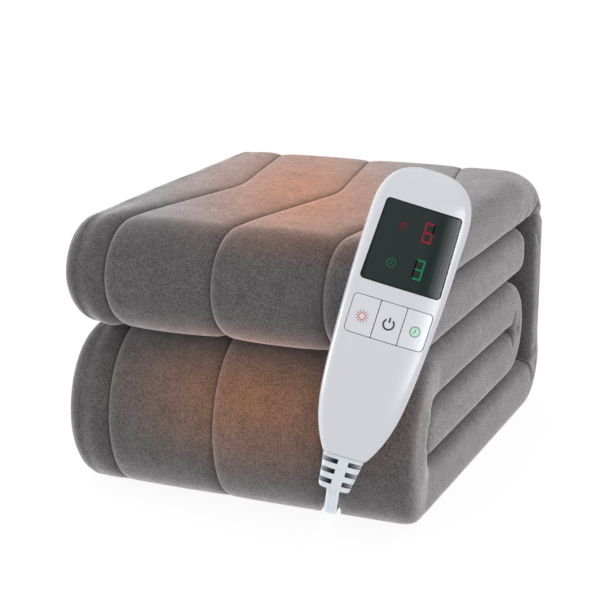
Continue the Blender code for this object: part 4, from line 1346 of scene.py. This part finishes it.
def pocket_finish():
    """Insides of the relief's pockets, with painted shade that deepens towards the spine."""
    made = moulded_finish("pocket_shade", (0.3, 0.3, 0.3), 0.7, 0.0005, 0.00002)
    tree = made.node_tree
    away = add_node(tree, "ShaderNodeAttribute", attribute_name="away").outputs["Fac"]
    share = remap(tree, away, RELIEF_SPINE / 2, RELIEF_TOP[0] / 2)
    # Painted shade: near black at the spine, lighter towards the pockets' outer ends.
    colour = mix_colours(tree, share, (0.035, 0.038, 0.042, 1.0), (0.50, 0.53, 0.57, 1.0))
    group = next(node for node in tree.nodes if node.type == "GROUP")
    tree.links.new(colour, group.inputs["Colour"])
    return made


def relief_pocket(slot, side, front, shade):
    """The cutter of one pocket; side and front are +1 or -1."""
    cutter = rounded_box((RELIEF_TOP[0], RELIEF_SLOT_HEIGHT, RELIEF_TOP[1]), RELIEF_SLOT_EASE,
                         "relief_pocket", shade)
    cutter.transform(Matrix.Translation((
        side * (RELIEF_SPINE + RELIEF_TOP[0]) / 2, -slot - RELIEF_SLOT_DROP,
        front * (RELIEF_WEB + RELIEF_TOP[1]) / 2,
    )))
    return cutter


def build_relief(settings):
    """Tapered strain relief: three pockets on each side of its spine, front and back."""
    finish = relief_finish(settings)
    shade = pocket_finish()
    profile = list(RELIEF_PROFILE)
    for k in range(1, 7):
        angle = pi / 2 * k / 6
        profile.append((RELIEF_LENGTH - RELIEF_EASE * (1 - sin(angle)), 0.86 + 0.14 * cos(angle)))
    rings = []
    for down, fullness in profile:
        half_x, half_z = (
            fullness * (top + (foot - top) * (down / RELIEF_LENGTH)) / 2
            for top, foot in zip(RELIEF_TOP, RELIEF_FOOT)
        )
        rings.append(squarish_ring(half_x, half_z, -down, SHELL_SQUARENESS, RELIEF_SIDES))
    solid = loft(rings, "strain_relief_moulding")
    solid.materials.append(finish)
    cutters = [relief_pocket(*where, shade) for where in product(RELIEF_SLOTS, (-1, 1), (-1, 1))]
    mesh = cut_from(solid, cutters, "strain_relief_moulding")
    away = mesh.attributes.new("away", "FLOAT", "POINT")
    away.data.foreach_set("value", [abs(vertex.co.x) for vertex in mesh.vertices])
    mesh.transform(CONTROL)
    smooth(mesh, 35)
    place("strain_relief_moulding", mesh, finish, stands_for=("strain_relief",))


# ------------------------------------------------------------------ cable
def connector_pose():
    """Tip of the connector's boot, with its axes across and along."""
    inner = COIL_MIDDLE_RADIUS - COIL_HALF_BAND
    outward = Vector((cos(CONNECTOR_ANGLE), sin(CONNECTOR_ANGLE), 0.0))
    tangent = Vector((-outward.y, outward.x, 0.0))
    along = tangent * cos(CONNECTOR_INTURN) - outward * sin(CONNECTOR_INTURN)
    across = Vector((along.y, -along.x, 0.0))
    tip = Vector((COIL_X, COIL_Y, FLOOR_GAP + CONNECTOR_BODY[2] / 2)) + outward * (inner - CONNECTOR_SETBACK)
    return tip, across, along


def coil_point(angle):
    radius = COIL_OUTER_TURN - COIL_TURN_PITCH * angle / (2 * pi)
    return Vector((COIL_X + radius * cos(angle), COIL_Y + radius * sin(angle), CABLE_EDGE_Z))


def cable_line():
    """Middle line of the cable, and the direction of its width at each point."""
    exit_point = CONTROL @ Vector((0.0, -RELIEF_LENGTH - FIT_GAP, 0.0))
    at_control = CONTROL.to_3x3() @ Vector((1.0, 0.0, 0.0))
    floor_flat, on_edge = Vector((1.0, 0.0, 0.0)), Vector((0.0, 0.0, 1.0))
    route = smooth_route([exit_point, *CABLE_ROUTE, coil_point(0.0)], ROUTE_STEPS)
    widths = []
    for point in route:
        if point.y < CABLE_FLAT_FROM_Y:
            blend = min(1.0, (CABLE_FLAT_FROM_Y - point.y) / CABLE_FLAT_BLEND)
            widths.append(floor_flat.lerp(at_control, blend))
        else:
            blend = soft_step((point.y - CABLE_TWIST_FROM_Y) / CABLE_TWIST_LENGTH)
            widths.append(floor_flat.lerp(on_edge, float(blend)))
    for k in range(1, COIL_STEPS + 1):
        route.append(coil_point(COIL_SWEEP * k / COIL_STEPS))
        widths.append(on_edge)
    tip, across, along = connector_pose()
    leaving = (route[-1] - route[-2]).normalized()
    start = route[-1]
    reach = (tip - start).length
    for k in range(1, TAIL_STEPS + 1):
        t = k / TAIL_STEPS
        route.append(hermite(start, leaving * reach, tip + along * 0.001, along * reach, t))
        widths.append(on_edge.lerp(across, float(soft_step(t))))
    return exit_point, route, widths


def cable_section(groove_depth):
    """Half outline of the flat cable: rounded edges and two fine grooves on each face."""
    half_width, half_thick = CABLE_WIDTH / 2, CABLE_THICK / 2
    flat_end = half_width - CABLE_END_RADIUS
    face = [(flat_end, half_thick)]
    face += [(CABLE_GROOVE_AT + aside, half_thick - groove_depth * deep) for aside, deep in CABLE_GROOVE]
    face.append((0.0, half_thick + CABLE_CROWN))
    face += [(-x, z) for x, z in reversed(face[:-1])]
    rim = []
    for k in range(1, 8):
        x, z = squarish(pi / 2 + pi * k / 8, 2.4)
        rim.append((-flat_end + CABLE_END_RADIUS * x, half_thick * z))
    upper = face + rim
    return upper + [(-x, -z) for x, z in upper]


def build_cable(settings):
    exit_point, route, widths = cable_line()
    section = cable_section(settings.groove_depth)
    rings = []
    for i, (point, hint) in enumerate(zip(route, widths)):
        along = (route[min(i + 1, len(route) - 1)] - route[max(i - 1, 0)]).normalized()
        if i == 0:
            along = CONTROL.to_3x3() @ Vector((0.0, -1.0, 0.0))
        wide = (hint - along * hint.dot(along)).normalized()
        thin = along.cross(wide).normalized()
        rings.append([point + wide * a + thin * b for a, b in section])
    mesh = loft(rings, "flat_cable")
    smooth(mesh, 40)
    finish = moulded_finish("cable_sheath", settings.cable_colour, 0.38, 0.0008, 0.00002,
                            Coat_Weight=0.1, Coat_Roughness=0.2)
    cable = place("flat_cable", mesh, finish, stands_for=("cable_run", "cable_coil"))
    connector = build_connector(settings)


def connector_profile():
    """Rows of distance along, width and height: ribbed boot, shoulder, waisted body."""
    width, length, height = CONNECTOR_BODY
    boot_width, boot_length, boot_height = CONNECTOR_BOOT
    profile = [(0.0, boot_width * 0.74, boot_height * 0.82), (0.0003, boot_width * 0.80, boot_height * 0.90)]
    for rib in range(3):
        begin = 0.0010 + 0.0026 * rib
        grown = 0.84 + 0.08 * rib
        for further, less in ((0.0, 0.0), (0.0014, 0.0), (0.0017, 0.10), (0.0022, 0.10)):
            profile.append((begin + further, boot_width * (grown - less), boot_height * (grown - less)))
    profile += [(boot_length, boot_width, boot_height), (boot_length + 0.0004, width * 0.86, height * 0.80),
                (boot_length + 0.0011, width * 0.95, height * 0.93), (boot_length + 0.0022, width, height)]
    for k in range(1, 12):
        share = k / 12
        waist = 1 - 0.05 * sin(pi * share) ** 2
        profile.append((boot_length + 0.0022 + (length - 0.0034) * share, width * waist, height))
    end = boot_length + length
    profile += [(end - 0.0012, width, height), (end - 0.0004, width * 0.975, height * 0.95),
                (end, width * 0.92, height * 0.86)]
    return profile


def build_connector(settings):
    """Moulded connector with grip hollows and a recessed contact face."""
    tip, across, along = connector_pose()
    profile = connector_profile()
    rings = [squarish_ring(wide / 2, tall / 2, distance, CONNECTOR_SQUARENESS, CONNECTOR_SIDES)
             for distance, wide, tall in profile]
    finish = relief_finish(settings)
    shade = moulded_finish("contact_recess", (0.06, 0.065, 0.07), 0.6, 0.0005, 0.00002)
    solid = loft(rings, "cable_connector_moulding")
    solid.materials.append(finish)
    cutters = []
    for x in CONTACTS_X:
        hole = rounded_box(CONTACT_HOLE, CONTACT_EASE, "contact_hole", shade)
        hole.transform(Matrix.Translation((x, profile[-1][0], 0.0)))
        cutters.append(hole)
    mesh = cut_from(solid, cutters, "cable_connector_moulding")
    turned = Matrix((across, along, Vector((0.0, 0.0, 1.0)))).transposed().to_4x4()
    mesh.transform(Matrix.Translation(tip) @ turned)
    smooth(mesh, 35)
    return place("cable_connector_moulding", mesh, finish, stands_for=("cable_connector",))


# ------------------------------------------------------------------ stage
def add_aimed(name, data, at, target):
    """A camera or light, turned towards its target."""
    made = add_object(name, data)
    made.location = at
    made.rotation_euler = (Vector(target) - Vector(at)).to_track_quat("-Z", "Y").to_euler()
    return made


def soft_light(name, at, target, size, power):
    data = bpy.data.lights.new(name, "AREA")
    data.shape = "RECTANGLE"
    data.size, data.size_y = size
    data.energy = power
    return add_aimed(name, data, at, target)


def build_floor(settings):
    half = FLOOR_SIZE / 2
    corners = [(x * half, y * half, FLOOR_Z) for x, y in ((-1, -1), (1, -1), (1, 1), (-1, 1))]
    mesh = mesh_from(corners, [(0, 1, 2, 3)], "studio_floor")
    floor = add_object("studio_floor", mesh)
    made, _, _ = new_material("studio_floor", Base_Color=(*settings.floor_colour, 1.0), Roughness=0.9,
                              Specular_IOR_Level=0.1, Emission_Color=WHITE, Emission_Strength=FLOOR_GLOW)
    mesh.materials.append(made)


def build_sky(settings):
    """Soft light from all round, a little brighter towards -X."""
    world = bpy.data.worlds.new("studio")
    world.use_nodes = True
    sky = world.node_tree
    background = sky.nodes["Background"]
    background.inputs["Color"].default_value = WHITE
    heading = add_node(sky, "ShaderNodeTexCoord").outputs["Generated"]
    right = add_node(sky, "ShaderNodeSeparateXYZ", {0: heading}).outputs["X"]
    share = calculate(sky, "ADD", 1.0, calculate(sky, "MULTIPLY", right, -SKY_TILT))
    sky.links.new(calculate(sky, "MULTIPLY", share, settings.sky_strength), background.inputs["Strength"])
    bpy.context.scene.world = world


def build_studio(settings):
    scene = bpy.context.scene
    scene.view_settings.view_transform = "Standard"
    data = bpy.data.cameras.new("camera")
    data.lens = CAMERA_LENS
    data.sensor_width = 36.0
    scene.camera = add_aimed("camera", data, CAMERA_AT, CAMERA_TARGET)
    build_floor(settings)
    build_sky(settings)
    for name, power, at, target, size in LIGHTS:
        soft_light(name, at, target, size, getattr(settings, power))
    for first, last in STREAK_CARDS:
        middle = radians((first + last) / 2)
        width = 2 * STREAK_DISTANCE * tan(radians(last - first) / 2)
        at = Vector(STREAK_TARGET) + STREAK_DISTANCE * Vector((cos(middle), sin(middle), 0.0))
        power = settings.streak_power * width
        card = soft_light("streak_card", at, STREAK_TARGET, (width, STREAK_HEIGHT), power)
        card.visible_diffuse = False


# ------------------------------------------------------------------ operators and panel
class HEATBLANKET_OT_studio(bpy.types.Operator):
    """Set up the camera, the pale floor and the soft lights"""

    bl_idname = "heatblanket.studio"
    bl_label = "Studio"

    def execute(self, context):
        build_studio(context.scene.heatblanket_studio)
        return {"FINISHED"}


class HEATBLANKET_OT_cable(bpy.types.Operator):
    """Lay the flat cable, with its stored turns and its connector"""

    bl_idname = "heatblanket.cable"
    bl_label = "Cable and connector"

    def execute(self, context):
        build_cable(context.scene.heatblanket_cable)
        return {"FINISHED"}


class HEATBLANKET_OT_pad(bpy.types.Operator):
    """Fold the quilted fleece pad into its pack"""

    bl_idname = "heatblanket.pad"
    bl_label = "Fleece pad"

    def execute(self, context):
        build_pad(context.scene.heatblanket_pad)
        return {"FINISHED"}


class HEATBLANKET_OT_stitches(bpy.types.Operator):
    """Sew the quilting lines"""

    bl_idname = "heatblanket.stitches"
    bl_label = "Quilting thread"

    def execute(self, context):
        build_stitches(context.scene.heatblanket_pad)
        return {"FINISHED"}


class HEATBLANKET_OT_shell(bpy.types.Operator):
    """Mould both halves of the hand control's shell"""

    bl_idname = "heatblanket.shell"
    bl_label = "Control shell"

    def execute(self, context):
        build_shell(context.scene.heatblanket_control)
        return {"FINISHED"}


class HEATBLANKET_OT_display(bpy.types.Operator):
    """Fit the display window with its digits and signs"""

    bl_idname = "heatblanket.display"
    bl_label = "Display"

    def execute(self, context):
        build_display(context.scene.heatblanket_control)
        return {"FINISHED"}


class HEATBLANKET_OT_keys(bpy.types.Operator):
    """Fit the three keys and print their signs"""

    bl_idname = "heatblanket.keys"
    bl_label = "Keys"

    def execute(self, context):
        build_keys(context.scene.heatblanket_control)
        return {"FINISHED"}


class HEATBLANKET_OT_relief(bpy.types.Operator):
    """Mould the strain relief"""

    bl_idname = "heatblanket.relief"
    bl_label = "Strain relief"

    def execute(self, context):
        build_relief(context.scene.heatblanket_cable)
        return {"FINISHED"}


OPERATORS = (
    HEATBLANKET_OT_studio, HEATBLANKET_OT_cable, HEATBLANKET_OT_pad, HEATBLANKET_OT_stitches,
    HEATBLANKET_OT_shell, HEATBLANKET_OT_display, HEATBLANKET_OT_keys, HEATBLANKET_OT_relief,
)
SETTINGS = {
    "heatblanket_pad": PadSettings,
    "heatblanket_control": ControlSettings,
    "heatblanket_cable": CableSettings,
    "heatblanket_studio": StudioSettings,
}


class HEATBLANKET_PT_panel(bpy.types.Panel):
    """Pieces of the heated blanket and their settings"""

    bl_idname = "HEATBLANKET_PT_panel"
    bl_label = "Heated blanket"
    bl_space_type = "VIEW_3D"
    bl_region_type = "UI"
    bl_category = "Heated blanket"

    def draw(self, context):
        for operator in OPERATORS:
            self.layout.operator(operator.bl_idname)
        for name, group in SETTINGS.items():
            box = self.layout.box()
            for prop in group.__annotations__:
                box.prop(getattr(context.scene, name), prop)


def register():
    for group in SETTINGS.values():
        bpy.utils.register_class(group)
    for name, group in SETTINGS.items():
        setattr(bpy.types.Scene, name, PointerProperty(type=group))
    for operator in OPERATORS:
        bpy.utils.register_class(operator)
    bpy.utils.register_class(HEATBLANKET_PT_panel)


def unregister():
    bpy.utils.unregister_class(HEATBLANKET_PT_panel)
    for operator in reversed(OPERATORS):
        bpy.utils.unregister_class(operator)
    for name, group in SETTINGS.items():
        delattr(bpy.types.Scene, name)
        bpy.utils.unregister_class(group)


def main():
    register()
    bpy.ops.heatblanket.studio()
    bpy.ops.heatblanket.cable()
    bpy.ops.heatblanket.pad()
    bpy.ops.heatblanket.stitches()
    bpy.ops.heatblanket.shell()
    bpy.ops.heatblanket.display()
    bpy.ops.heatblanket.keys()
    bpy.ops.heatblanket.relief()


if __name__ == "__main__":
    main()
